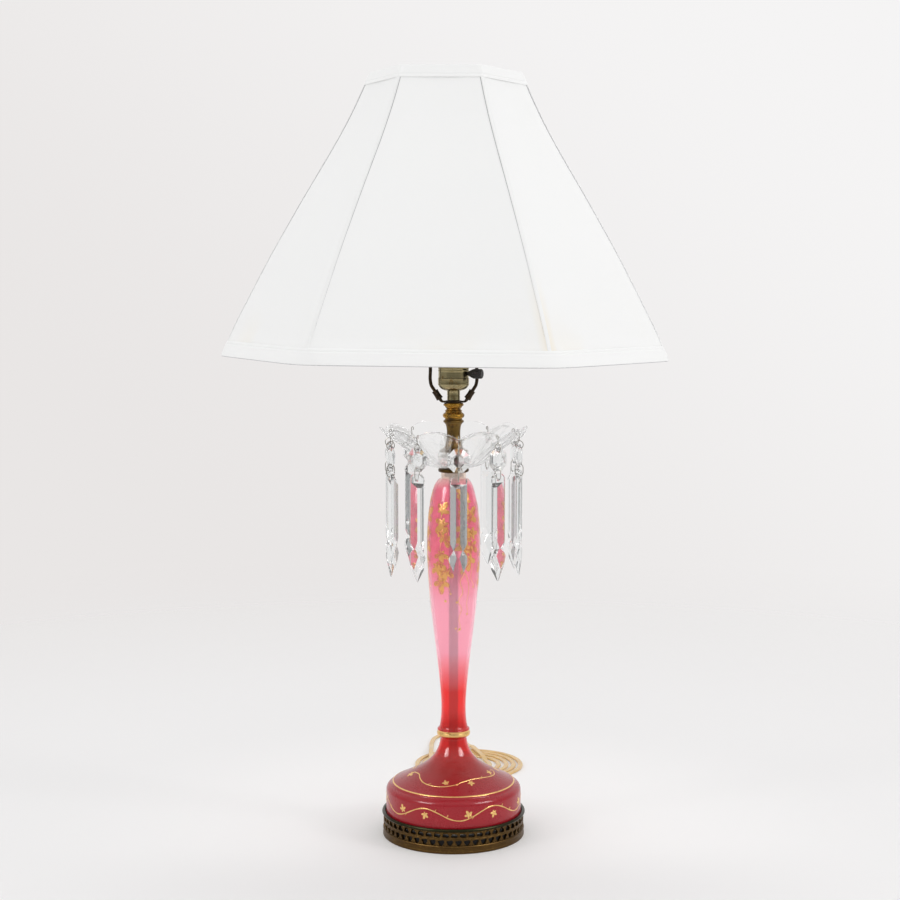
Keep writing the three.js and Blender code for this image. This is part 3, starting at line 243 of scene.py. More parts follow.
def make(name, shapes, finishes, body=STAND, replaces=(), crease=35.0):
    """A mesh object of one or more shapes, with its finishes. It rides on a body, if it has one."""
    shapes = [shapes] if isinstance(shapes, Shape) else list(shapes)
    finishes = finishes if isinstance(finishes, (list, tuple)) else [finishes]
    starts = np.cumsum([0] + [len(s.points) for s in shapes[:-1]])
    points = np.concatenate([s.points for s in shapes])
    faces = np.concatenate([s.faces + start for s, start in zip(shapes, starts)])
    uv = np.concatenate([s.uv for s in shapes])
    number = np.concatenate([np.full(len(s.faces), s.finish) for s in shapes])
    mesh = bpy.data.meshes.new(name)
    mesh.vertices.add(len(points))
    mesh.vertices.foreach_set("co", points.astype(np.float32).ravel())
    mesh.loops.add(4 * len(faces))
    mesh.loops.foreach_set("vertex_index", faces.astype(np.int32).ravel())
    mesh.polygons.add(len(faces))
    mesh.polygons.foreach_set("loop_start", 4 * np.arange(len(faces), dtype=np.int32))
    mesh.polygons.foreach_set("material_index", number.astype(np.int32))
    mesh.update(calc_edges=True)
    layer = mesh.uv_layers.new(name="UVMap")
    layer.data.foreach_set("uv", uv.astype(np.float32).ravel())
    work = bmesh.new()
    work.from_mesh(mesh)
    bmesh.ops.remove_doubles(work, verts=work.verts, dist=DOUBLES)
    work.to_mesh(mesh)
    work.free()
    for each in finishes:
        mesh.materials.append(each)
    mesh.shade_smooth()
    mesh.set_sharp_from_angle(angle=math.radians(crease))
    piece = bpy.data.objects.new(name, mesh)
    bpy.context.scene.collection.objects.link(piece)
    if body:
        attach(piece, body)
    if replaces:
        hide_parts(*([replaces] if isinstance(replaces, str) else replaces))
    return piece


def dress(nodes, finish):
    """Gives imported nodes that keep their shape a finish."""
    for node in [nodes] if isinstance(nodes, str) else nodes:
        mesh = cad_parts[node].data
        mesh.materials.clear()
        mesh.materials.append(finish)


class Wall:
    """A turned wall that lines and leaves are laid on, by azimuth, distance along and lift."""

    def __init__(self, profile):
        self.profile = np.asarray(profile, float)
        self.along = distances(self.profile)
        slope = np.gradient(self.profile, self.along, axis=0)
        self.normal = unit(np.stack([slope[:, 1], -slope[:, 0]], axis=1))

    def radius(self, along):
        return np.interp(along, self.along, self.profile[:, 0])

    def along_at(self, height):
        return np.interp(height, self.profile[:, 1], self.along)

    def along_at_radius(self, radius, start=0):
        """Distance along of the point nearest to a radius, past the first few points."""
        return self.along[start:][np.argmin(np.abs(self.profile[start:, 0] - radius))]

    def point(self, azimuth, along, lift):
        """The wall's point at a distance along its profile, moved out square to it by the lift."""
        radius = self.radius(along) + lift * np.interp(along, self.along, self.normal[:, 0])
        rise = lift * np.interp(along, self.along, self.normal[:, 1])
        height = np.interp(along, self.along, self.profile[:, 1]) + rise
        return around_axis(radius, azimuth, height)

    def line(self, azimuth, along, width, lift, loop=False):
        """A raised line: half an oval, square to the line, with its foot sunk in the wall."""
        azimuth = np.asarray(azimuth, float)
        along = np.broadcast_to(np.asarray(along, float), azimuth.shape)
        width = np.broadcast_to(np.asarray(width, float), azimuth.shape)
        radius = self.radius(along)
        if loop:
            turn = np.full(len(azimuth), TAU / len(azimuth))
            climb = (np.roll(along, -1) - np.roll(along, 1)) / 2
        else:
            turn = np.gradient(azimuth)
            climb = np.gradient(along)
        way = unit(np.stack([radius * turn, climb], axis=1))
        angle = np.linspace(0, math.pi, 7)
        across = np.concatenate([np.cos(angle), [-0.9, 0.9]])
        height = np.concatenate([np.sin(angle), [-1.0, -1.0]])
        shift = across[None, :] * width[:, None] / 2
        a = azimuth[:, None] - shift * way[:, 1:] / radius[:, None]
        s = along[:, None] + shift * way[:, :1]
        points = self.point(a, s, lift * np.broadcast_to(height, a.shape))
        return skin(points if loop else capped(points), loop=loop)

    def band(self, along, width, lift, count):
        """A raised line straight round the wall."""
        return self.line(circle(count), np.full(count, along), width, lift, loop=True)

    def thorn(self, azimuth, along, turn, length, widths, lift):
        """A stalk that leaves a vine. It turns with the square of its share and gets thinner."""
        share = np.linspace(0, 1, 9)
        width = widths[0] + (widths[1] - widths[0]) * share
        return self.line(azimuth + turn * share**2, along + length * share, width, lift)

    def leaf(self, azimuth, along, size, turn, lift, lobes=5, notch=0.42, point=1.3, tail=0.22):
        """A lobed leaf, domed and veined. Its outline's radius is the size times a notch share
        plus the rest times a power of the cosine of half the lobes times the angle, longer at
        the tip. Its rise falls off with the square of the distance from its middle.
        """
        angle = circle(12 * lobes)
        lobe = np.abs(np.cos(lobes * angle / 2))
        outline = size * (notch + (1 - notch) * lobe**point) * (1 - tail + tail * np.cos(angle))
        share = np.array([0, 0.3, 0.55, 0.75, 0.9, 1, 1, 0])
        dome = np.array([1, 0.95, 0.82, 0.62, 0.4, 0.15, -1, -1])
        vein = 1 - 0.45 * lobe[None, :] ** 12 * (dome[:, None] > 0.5)
        rise = lift * dome[:, None] * vein
        reach = share[:, None] * outline[None, :]
        x = reach * np.sin(angle + turn)
        y = reach * np.cos(angle + turn)
        return skin(self.point(azimuth + x / self.radius(along), along + y, rise))


# Finishes


def maths(operation, swapped=False):
    """A method that adds a Math node to a finish; swapped puts the other value first."""

    def method(self, other=0.0):
        pair = (other, self) if swapped else (self, other)
        return self.paint.node("ShaderNodeMath", {"operation": operation}, dict(enumerate(pair)))

    return method


class Socket:
    """A socket of a finish. Sums, differences, products, quotients and powers add Math nodes."""

    def __init__(self, paint, link):
        self.paint = paint
        self.link = link

    __add__ = maths("ADD")
    __radd__ = maths("ADD", swapped=True)
    __sub__ = maths("SUBTRACT")
    __rsub__ = maths("SUBTRACT", swapped=True)
    __mul__ = maths("MULTIPLY")
    __rmul__ = maths("MULTIPLY", swapped=True)
    __truediv__ = maths("DIVIDE")
    __pow__ = maths("POWER")
    sine = maths("SINE")
    size = maths("ABSOLUTE")
    most = maths("MAXIMUM")


SHADER_SOCKETS = {
    "roughness": "Roughness",
    "metallic": "Metallic",
    "normal": "Normal",
    "ior": "IOR",
    "specular": "Specular IOR Level",
    "transmission": "Transmission Weight",
    "coat": "Coat Weight",
    "coat_roughness": "Coat Roughness",
    "coat_ior": "Coat IOR",
    "sheen": "Sheen Weight",
    "sheen_roughness": "Sheen Roughness",
    "sheen_tint": "Sheen Tint",
    "alpha": "Alpha",
    "subsurface": "Subsurface Weight",
    "subsurface_radius": "Subsurface Radius",
    "emission": "Emission Color",
    "emission_strength": "Emission Strength",
}


class Paint:
    """Builds the nodes of one finish, or of the world if it is given its tree."""

    def __init__(self, name, tree=None):
        self.material = None
        if tree is None:
            self.material = bpy.data.materials.new(name)
            self.material.use_nodes = True
            tree = self.material.node_tree
        self.tree = tree
        tree.nodes.clear()

    def node(self, kind, settings=None, inputs=None, output=0):
        """A node of a kind, with its settings, then the values or links of its sockets."""
        node = self.tree.nodes.new(kind)
        for key, value in (settings or {}).items():
            if key == "stops":
                ramp = node.color_ramp.elements
                for place, _ in value[2:]:
                    ramp.new(place)
                for element, (place, colour) in zip(ramp, value):
                    element.position = place
                    element.color = colour
            else:
                setattr(node, key, value)
        for key, value in (inputs or {}).items():
            if isinstance(value, Socket):
                self.tree.links.new(value.link, node.inputs[key])
            else:
                node.inputs[key].default_value = value
        return Socket(self, node.outputs[output])

    def place(self):
        """The point's place on the object."""
        return self.node("ShaderNodeTexCoord", output=3)

    def uv(self):
        return self.node("ShaderNodeTexCoord", output=2)

    def part(self, vector, axis):
        """One of the three numbers of a vector."""
        return self.node("ShaderNodeSeparateXYZ", inputs={0: vector}, output="XYZ".index(axis))

    def stretched(self, vector, scale):
        return self.node("ShaderNodeMapping", inputs={0: vector, "Scale": scale})

    def noise(self, vector, scale, detail=3.0, roughness=0.5):
        inputs = {"Vector": vector, "Scale": scale, "Detail": detail, "Roughness": roughness}
        return self.node("ShaderNodeTexNoise", inputs=inputs)

    def step(self, value, start, end, first=0.0, last=1.0):
        """Goes smoothly from first to last as the value goes from start to end."""
        inputs = {0: value, 1: start, 2: end, 3: first, 4: last}
        return self.node("ShaderNodeMapRange", {"interpolation_type": "SMOOTHSTEP"}, inputs)

    def mix(self, share, first, second):
        """A colour between two colours."""
        return self.node("ShaderNodeMix", {"data_type": "RGBA"}, {0: share, 6: first, 7: second}, 2)

    def blend(self, share, first, second):
        """A shader between two shaders."""
        return self.node("ShaderNodeMixShader", inputs={0: share, 1: first, 2: second})

    def clear(self):
        return self.node("ShaderNodeBsdfTransparent")

    def ramp(self, value, stops):
        return self.node("ShaderNodeValToRGB", {"stops": stops}, {0: value})

    def bump(self, height, depth, strength=1.0):
        """A normal that leans as the height changes, over a depth in metres."""
        inputs = {"Strength": strength, "Distance": depth, "Height": height}
        return self.node("ShaderNodeBump", inputs=inputs)

    def gloss(self, colour, **values):
        """The shader of a surface: a colour and the sockets that are named."""
        inputs = {SHADER_SOCKETS[key]: value for key, value in values.items()}
        return self.node("ShaderNodeBsdfPrincipled", inputs={"Base Color": colour, **inputs})

    def done(self, shader):
        output = self.tree.nodes.new("ShaderNodeOutputMaterial")
        self.tree.links.new(shader.link, output.inputs["Surface"])
        return self.material


def rgb(colour, level=1.0):
    """A written colour as four numbers, at a level."""
    return (colour[0] * level, colour[1] * level, colour[2] * level, 1.0)


def shown(red, green, blue):
    """A colour in screen values from 0 to 255, as the linear numbers that a shader takes."""
    screen = np.array([red, green, blue]) / 255
    linear = np.where(screen <= 0.04045, screen / 12.92, ((screen + 0.055) / 1.055) ** 2.4)
    return tuple(float(v) for v in linear)


built = {}


def finish(name, build, *values, **named):
    """The finish of that name, built at its first use."""
    if name not in built:
        built[name] = build(name, *values, **named)
    return built[name]


def metal(name, colour, patina, roughness, age=0.5):
    """Metal under a cloudy patina, with fine scratches that change its gloss, and small pits."""
    paint = Paint(name)
    place = paint.place()
    clouds = paint.noise(place, 120.0, 5.0, 0.6)
    pits = paint.noise(place, 1500.0, 2.0)
    scratches = paint.noise(place, 900.0, 3.0, 0.6)
    cover = paint.step(clouds * 0.75 + pits * 0.25, 0.62 - 0.3 * age, 0.78 - 0.3 * age)
    base = paint.mix(cover, rgb(colour), rgb(patina))
    rough = scratches * 0.14 + cover * 0.16 + (roughness - 0.07)
    normal = paint.bump(scratches * 0.4 + pits * 0.6, 0.15 * MM, 0.5)
    return paint.done(paint.gloss(base, roughness=rough, metallic=1.0, normal=normal))


def gallery_metal(name, colours):
    """Brown bronze whose rounded lip has gone green black."""
    paint = Paint(name)
    place = paint.place()
    height = paint.part(place, "Z")
    clouds = paint.noise(place, 140.0, 5.0, 0.65)
    specks = paint.noise(place, 900.0, 3.0, 0.6)
    lip = low("gallery_ring") + 22.4 * MM
    green = paint.step(height + (clouds - 0.5) * 2 * MM, lip, lip + 1.4 * MM)
    worn = paint.step(specks * 0.5 + clouds * 0.5, 0.5, 0.66)
    brown = paint.mix(worn, rgb(colours.bronze), rgb(colours.brass, 0.75))
    dark = paint.mix(worn * 0.5, rgb(colours.lip), rgb(colours.bronze))
    base = paint.mix(green, brown, dark)
    rough = clouds * 0.2 + green * -0.08 + 0.3
    normal = paint.bump(specks * 0.5 + clouds * 0.5, 0.25 * MM, 0.5)
    return paint.done(paint.gloss(base, roughness=rough, metallic=1.0, normal=normal))


def stained_glass(name, colours):
    """Blown glass, clear enough to see the pipe: red low down, pink above, pale at the neck, with a
    faint painted glow in its own colour.
    """
    paint = Paint(name)
    place = paint.place()
    clouds = paint.noise(place, 22.0, 3.0, 0.5)
    height = paint.part(place, "Z") + (clouds - 0.5) * 24 * MM
    base = paint.ramp(
        (height - 0.11) / 0.28,
        [
            (0.0, rgb(colours.glass_red, 0.72)),
            (0.09, rgb(colours.glass_red)),
            (0.165, rgb(colours.glass_red)),
            (0.3, rgb(colours.glass_pale)),
            (0.5, rgb(colours.glass_pale)),
            (0.67, rgb(colours.glass_pink)),
            (0.93, rgb(colours.glass_pink, 0.98)),
            (0.968, rgb(colours.glass_neck)),
        ],
    )
    look = paint.gloss(
        base,
        roughness=clouds * 0.06 + 0.18,
        normal=paint.bump(clouds, 1.2 * MM, 0.35),
        transmission=0.76,
        ior=1.24,
        coat=0.55,
        coat_roughness=0.07,
        coat_ior=1.58,
        # Painted light: the glass glows faintly in its own colour, standing in for light that shines
        # through it.
        emission=base,
        emission_strength=0.13,
    )
    return paint.done(look)


def satin_glass(name, colours):
    """Cased glass with a satin skin: deep red, browner on top, under a mauve bloom. The cone
    above it is as clear as the vase's stem, with the same faint painted glow."""
    paint = Paint(name)
    place = paint.place()
    height = paint.part(place, "Z")
    clouds = paint.noise(place, 30.0, 4.0, 0.55)
    grain = paint.noise(place, 1600.0, 2.0)
    upper = paint.step(height, 0.052, 0.075) * 0.75 + clouds * 0.3
    satin = paint.gloss(
        paint.mix(upper, rgb(colours.foot_red), rgb(colours.foot_brown)),
        roughness=grain * 0.08 + clouds * 0.08 + 0.2,
        normal=paint.bump(grain, 0.03 * MM, 0.5),
        transmission=0.25,
        ior=1.36,
        specular=0.35,
        sheen=0.02,
        sheen_roughness=0.35,
        sheen_tint=rgb(colours.bloom),
        coat=0.36,
        coat_roughness=0.08,
    )
    cone = paint.gloss(
        rgb(colours.glass_red, 0.85),
        roughness=clouds * 0.06 + 0.12,
        transmission=0.76,
        ior=1.24,
        coat=0.6,
        coat_roughness=0.07,
        coat_ior=1.55,
        # Painted light: the cone glows faintly in the glass's red, as the stem does.
        emission=rgb(colours.glass_red),
        emission_strength=0.1,
    )
    return paint.done(paint.blend(paint.step(height, 0.068, 0.092), satin, cone))


def gilding(name, gold, copper, warmth=0.0):
    """Burnished gold paint with brush marks, which is thin and coppery in places when warm."""
    paint = Paint(name)
    place = paint.place()
    clouds = paint.noise(place, 160.0, 4.0, 0.6)
    brush = paint.noise(place, 1800.0, 2.0)
    thin = paint.step(clouds, 0.56 - 0.12 * warmth, 0.74 - 0.08 * warmth)
    look = paint.gloss(
        paint.mix(thin, rgb(gold), rgb(copper, 1.0 + 0.25 * warmth)),
        roughness=brush * 0.16 + (0.2 - 0.05 * warmth),
        metallic=0.85 - 0.3 * warmth,
        normal=paint.bump(brush, 0.05 * MM, 0.6),
        alpha=thin * -0.55 * warmth + (1.0 - 0.1 * warmth),
    )
    return paint.done(look)


def clear_glass(name, tint, ripple, ior, straight):
    """Clear glass with faint waves in its faces and a little dust that dulls it. A share of the
    light goes straight through, as in thin glass."""
    paint = Paint(name)
    place = paint.place()
    waves = paint.noise(place, 60.0, 2.0)
    dust = paint.noise(place, 500.0, 4.0, 0.7)
    look = paint.gloss(
        paint.mix(waves, rgb(tint), rgb(tint, 0.97)),
        roughness=paint.step(dust, 0.55, 0.85, 0.0, 0.1) + 0.004,
        normal=paint.bump(waves, ripple * MM, 0.4),
        transmission=1.0,
        ior=ior,
    )
    return paint.done(paint.blend(straight, look, paint.clear()))


def woven(name, colour, stain=None, thread=0.6 * MM):
    """Cloth with warp and weft from the surface's UV, slubs, and faint yellowing low down."""
    paint = Paint(name)
    uv = paint.uv()
    place = paint.place()
    warp = (paint.part(uv, "X") * (TAU * 0.5 / thread)).sine()
    weft = (paint.part(uv, "Y") * (TAU / thread)).sine()
    slubs = paint.noise(paint.stretched(place, (1.0, 1.0, 6.0)), 260.0, 3.0, 0.6)
    clouds = paint.noise(place, 9.0, 3.0, 0.5)
    base = paint.mix(slubs * 0.6 + clouds * 0.4, rgb(colour, 0.965), rgb(colour))
    if stain is not None:
        base = paint.mix(yellowing(paint, place, clouds), base, rgb(stain))
    threads = warp * weft * 0.5 + slubs * 0.7
    look = paint.gloss(
        base,
        roughness=slubs * 0.1 + 0.82,
        normal=paint.bump(threads, 0.12 * MM, 0.35),
        sheen=0.25,
        sheen_roughness=0.5,
        specular=0.2,
    )
    return paint.done(look)


def yellowing(paint, place, clouds):
    """How far the cover is stained: in patches over its lower edge, and along one front seam."""
    foot = low("shade_cover")
    x, y, height = (paint.part(place, axis) for axis in "XYZ")
    edge = paint.step(height + (clouds - 0.5) * 0.06, foot + 0.075, foot + 0.005)
    patches = edge * paint.step(clouds, 0.45, 0.75) * 0.4
    beside = x * math.cos(SHADE_TURN) + y * math.sin(SHADE_TURN) + 0.008
    run = paint.step(beside.size(), 0.013, 0.001) * paint.step(height, foot + 0.1, foot + 0.01)
    return patches.most(run * paint.step(y, 0.0, -0.02) * 0.7)


def moulded(name, colour, roughness=0.42):
    """Moulded plastic: a soft gloss, flow marks and a fine grain."""
    paint = Paint(name)
    place = paint.place()
    flow = paint.noise(place, 90.0, 3.0)
    grain = paint.noise(place, 2200.0, 2.0)
    base = paint.mix(flow, rgb(colour), rgb(colour, 1.35))
    rough = flow * 0.14 + (roughness - 0.07)
    normal = paint.bump(grain, 0.04 * MM, 0.5)
    return paint.done(paint.gloss(base, roughness=rough, normal=normal, specular=0.45))


def card(name, colour):
    """Pressed card with fibres."""
    paint = Paint(name)
    fibres = paint.noise(paint.stretched(paint.place(), (1.0, 1.0, 0.2)), 1400.0, 4.0, 0.7)
    base = paint.mix(fibres, rgb(colour, 0.7), rgb(colour, 1.2))
    normal = paint.bump(fibres, 0.06 * MM, 0.6)
    return paint.done(paint.gloss(base, roughness=0.85, normal=normal))


def cord_skin(name, colour):
    """Old flexible cord: cloudy, see-through gold plastic over two conductors, slightly greasy."""
    paint = Paint(name)
    clouds = paint.noise(paint.place(), 70.0, 4.0, 0.6)
    strand = (paint.part(paint.uv(), "Y") * (TAU / (2.2 * MM))).sine()
    look = paint.gloss(
        paint.mix(clouds * 0.8, rgb(colour, 1.15), rgb(colour, 0.72)),
        roughness=clouds * 0.18 + 0.24,
        normal=paint.bump(strand * 0.3 + clouds * 0.7, 0.08 * MM, 0.4),
        coat=0.4,
        coat_roughness=0.15,
        subsurface=0.25,
        subsurface_radius=(0.6 * MM, 0.35 * MM, 0.12 * MM),
    )
    return paint.done(look)


def frosted_bulb(name, colour):
    """An envelope frosted inside: white, with a dim waxy depth."""
    paint = Paint(name)
    clouds = paint.noise(paint.place(), 40.0, 3.0)
    look = paint.gloss(
        paint.mix(clouds, rgb(colour, 0.94), rgb(colour)),
        roughness=clouds * 0.06 + 0.16,
        transmission=0.35,
        ior=1.45,
        coat=0.5,
        coat_roughness=0.04,
    )
    return paint.done(look)


# Sizes and colours that can be changed


def length_property(label, description, default, least, most):
    """A length between a least and a most."""
    return FloatProperty(
        name=label,
        description=description,
        default=default,
        min=least,
        max=most,
        precision=5,
        unit="LENGTH",
    )


def colour_property(label, description, default):
    """A colour, in linear numbers."""
    return FloatVectorProperty(
        name=label, description=description, default=default, size=3, min=0.0, max=1.5, subtype="COLOR"
    )


class LampSizes(bpy.types.PropertyGroup):
    """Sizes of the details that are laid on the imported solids."""

    vine_width: length_property(
        "Vine width", "Width of the gilt vine lines on the foot", 1.15 * MM, 0.2 * MM, 4 * MM
    )
    gilt_relief: length_property(
        "Gilt relief", "How far the gilding stands out from the glass", 0.16 * MM, 0.02 * MM, 1 * MM
    )
    leaf_size: length_property(
        "Leaf size", "Reach of a leaf of the foot's vine from middle to tip", 5.4 * MM, 1 * MM, 12 * MM
    )
    panel_pull: length_property(
        "Panel pull", "How far a shade panel is drawn in between two ribs", 1.1 * MM, 0.0, 6 * MM
    )
    frieze_repeats: IntProperty(
        name="Frieze repeats",
        description="Number of repeats of the gallery ring's pierced pattern",
        default=52,
        min=12,
        max=90,
    )


class LampColours(bpy.types.PropertyGroup):
    """Colours of the lamp's finishes."""

    glass_red: colour_property("Glass red", "Lower vase", (0.86, 0.042, 0.036))
    glass_pale: colour_property("Glass pale", "Middle of the vase", (0.92, 0.51, 0.6))
    glass_pink: colour_property("Glass pink", "Upper vase", (0.87, 0.3, 0.4))
    glass_neck: colour_property("Glass neck", "Neck of the vase", (0.84, 0.72, 0.64))
    foot_red: colour_property("Foot red", "Band of the glass foot", (0.47, 0.012, 0.026))
    foot_brown: colour_property("Foot brown", "Top of the glass foot", (0.42, 0.028, 0.024))
    bloom: colour_property("Bloom", "Mauve sheen of the foot", (0.8, 0.35, 0.55))
    gilt: colour_property("Gilt", "Gold of vines and lines", (0.9, 0.57, 0.21))
    leaf: colour_property("Leaf gold", "Coppery gold of the belly's leaves", (0.96, 0.5, 0.17))
    copper: colour_property("Copper gilt", "Thin places in the gold", (0.6, 0.28, 0.09))
    brass: colour_property("Brass", "Column and finial", (0.2, 0.12, 0.034))
    amber: colour_property("Amber brass", "Upper column", (0.42, 0.22, 0.036))
    patina: colour_property("Patina", "Dark cover of old brass", (0.09, 0.055, 0.025))
    bronze: colour_property("Bronze", "Gallery ring", (0.095, 0.053, 0.018))
    lip: colour_property("Ring lip", "Dark lip of the ring", (0.024, 0.025, 0.012))
    iron: colour_property("Harp brown", "Harp and saddle", (0.055, 0.038, 0.026))
    nickel: colour_property("Socket", "Nickel brass of the socket", (0.37, 0.31, 0.165))
    steel: colour_property("Steel", "Pipe, plate and shade wires", (0.42, 0.42, 0.4))
    cloth: colour_property("Shade cloth", "Cover and trims", (0.925, 0.925, 0.92))
    # A grey for painted shade: the lines beside the seam strips and under the bottom tape's edge.
    thread: colour_property("Seam thread", "Painted shade lines beside the seams and under the bottom edge", (0.5, 0.5, 0.51))
    stain: colour_property("Yellowing", "Faint stain low on the cover", (0.9, 0.83, 0.7))
    cord: colour_property("Cord", "Gold cord", (0.76, 0.5, 0.2))
    wire: colour_property("Wire", "Pins and links of the pendants", (0.42, 0.4, 0.36))
    black: colour_property("Black plastic", "Knob and bushing", (0.014, 0.012, 0.011))
    backdrop: colour_property("Backdrop", "Floor and background", shown(238, 237, 237))


def sizes():
    return bpy.context.scene.lamp_sizes


def colours():
    return bpy.context.scene.lamp_colours


def aged(name, colour, *values, level=1.0, under="patina"):
    """Old metal in one of the lamp's colours at a level, under another of them."""
    own, cover = (getattr(colours(), each) for each in (colour, under))
    return finish(name, metal, rgb(own, level), cover, *values)


def brass():
    return aged("aged_brass", "brass", 0.3, 0.55)


def wire_metal():
    return aged("grey_wire", "wire", 0.35, 0.3)


def gold_cord():
    return finish("gold_cord", cord_skin, colours().cord)


def black():
    return finish("black_plastic", moulded, colours().black)


# Camera

CAMERA_PLACE = (-0.0037, -1.81125, 0.5746)
CAMERA_DIP = 0.0923
CAMERA_LENS = 70.0
CAMERA_SENSOR = 36.0


class LAMP_OT_camera(bpy.types.Operator):
    """Places the camera in front of the lamp, a little above its middle."""

    bl_idname = "lamp.camera"
    bl_label = "Camera"

    def execute(self, context):
        data = bpy.data.cameras.new("front_camera")
        data.lens = CAMERA_LENS
        data.sensor_width = CAMERA_SENSOR
        camera = bpy.data.objects.new("front_camera", data)
        context.scene.collection.objects.link(camera)
        camera.location = CAMERA_PLACE
        camera.rotation_euler = (math.pi / 2 - CAMERA_DIP, 0.0, 0.0)
        context.scene.camera = camera
        return {"FINISHED"}


# Cord, plug and outlet

CORD_WIDTH = 5.6 * MM
CORD_THICKNESS = 2.8 * MM
CORD_LIFT = 0.1 * MM
ON_TABLE = CORD_THICKNESS / 2 + CORD_LIFT
OVER_COIL = ON_TABLE + CORD_THICKNESS + 0.5 * MM
LOW_HUMP = ON_TABLE + 0.8 * MM
COIL_CENTRE = (17 * MM, 262 * MM)
COIL_START_RADIUS = 26 * MM
COIL_START_ANGLE = math.radians(25)
COIL_TURNS = 4.208
COIL_STEPS_PER_TURN = 40
COIL_FIRST_PITCH = 11.5 * MM
COIL_CLOSING = 0.86
COIL_TAIL = 30 * MM
CORD_ROWS = 760
CORD_SMOOTHINGS = 3
PLUG_LENGTH = 28 * MM
PLUG_WIDTH = 22 * MM
PLUG_THICKNESS = 11 * MM
PLUG_ROWS = 40
PLUG_GRIP = (0.28, 0.75)
PLUG_GROOVES = 9
GROOVE_DEPTH = 0.5 * MM
BLADE_LENGTH = 17 * MM
BLADE_WIDTH = 6.3 * MM
BLADE_THICKNESS = 1.5 * MM
BLADE_SPACING = 12.7 * MM
BLADE_ROOT = 1 * MM


def lead_route():
    """The lead's points from the outlet, down to the table, over the coil, round a loose loop
    and back into the coil's start."""
    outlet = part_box("cord_bushing")
    height = middle_height("cord_bushing")
    start_x = COIL_CENTRE[0] + COIL_START_RADIUS * math.cos(COIL_START_ANGLE)
    start_y = COIL_CENTRE[1] + COIL_START_RADIUS * math.sin(COIL_START_ANGLE)
    falling = [(-1, 88, height - 1.2 * MM), (-6, 103, 9 * MM), (-13, 118, 3.4 * MM)]
    across_table = [(-20, 134), (-25, 154), (-27, 176)]
    over_coil = [(-27, 204), (-27, 240), (-27, 285), (-27, 319)]
    far_loop = [
        (-27, 348), (-26, 368), (-22, 387), (-12, 400), (0, 401), (9, 391), (13, 375), (16, 358),
    ]
    back_over = [(24, 331), (28, 318), (31, 306), (34, 295.5), (36, 288.5)]
    landing = [(37.3, 284, 4.1 * MM), (38.6, 279.5, 2.3 * MM), (39.7, 276, ON_TABLE)]

    def at(points, level):
        return [(x, y, level) for x, y in points]

    route = [
        *falling,
        *at(across_table, ON_TABLE),
        *at([(-27, 191)], LOW_HUMP),
        *at(over_coil, OVER_COIL),
        *at([(-27, 333)], LOW_HUMP),
        *at(far_loop, ON_TABLE),
        *at([(20, 344)], LOW_HUMP),
        *at(back_over, OVER_COIL),
        *landing,
    ]
    points = [(x * MM, y * MM, z) for x, y, z in route]
    first = (0.0, outlet[1].y + GAP / 2, height)
    last = (start_x - 0.1 * MM, start_y + 0.3 * MM, ON_TABLE)
    return np.array([first, *points, last])


def coil_route():
    """A spiral: its radius grows with the turns to a power below one, so its pitch closes up.
    It ends in a straight tail for the plug."""
    count = round(COIL_TURNS * COIL_STEPS_PER_TURN)
    turn = COIL_TURNS * np.arange(count + 1) / count
    angle = COIL_START_ANGLE - TAU * turn
    radius = COIL_START_RADIUS + COIL_FIRST_PITCH * turn**COIL_CLOSING
    x = COIL_CENTRE[0] + radius * np.cos(angle)
    y = COIL_CENTRE[1] + radius * np.sin(angle)
    spiral = np.stack([x, y, np.full_like(x, ON_TABLE)], axis=1)
    way = unit(spiral[-1:] - spiral[-2:-1])
    tail = spiral[-1:] + way * np.linspace(0.25, 1, 4)[:, None] * COIL_TAIL
    return np.concatenate([spiral, tail]), way[0]


def twin_section():
    """A flat twin cord's outline: two round cores joined by a thinner web."""
    angle = circle(24)
    x = CORD_WIDTH / 2 * np.cos(angle)
    shoulder = CORD_WIDTH / 2 - CORD_THICKNESS / 2
    core = np.sqrt(np.maximum((CORD_THICKNESS / 2) ** 2 - (np.abs(x) - shoulder) ** 2, 0))
    web = 0.36 * CORD_THICKNESS
    y = np.sign(np.sin(angle)) * np.maximum(core, np.where(np.abs(x) < shoulder, web, 0))
    return np.stack([x, y], axis=1)


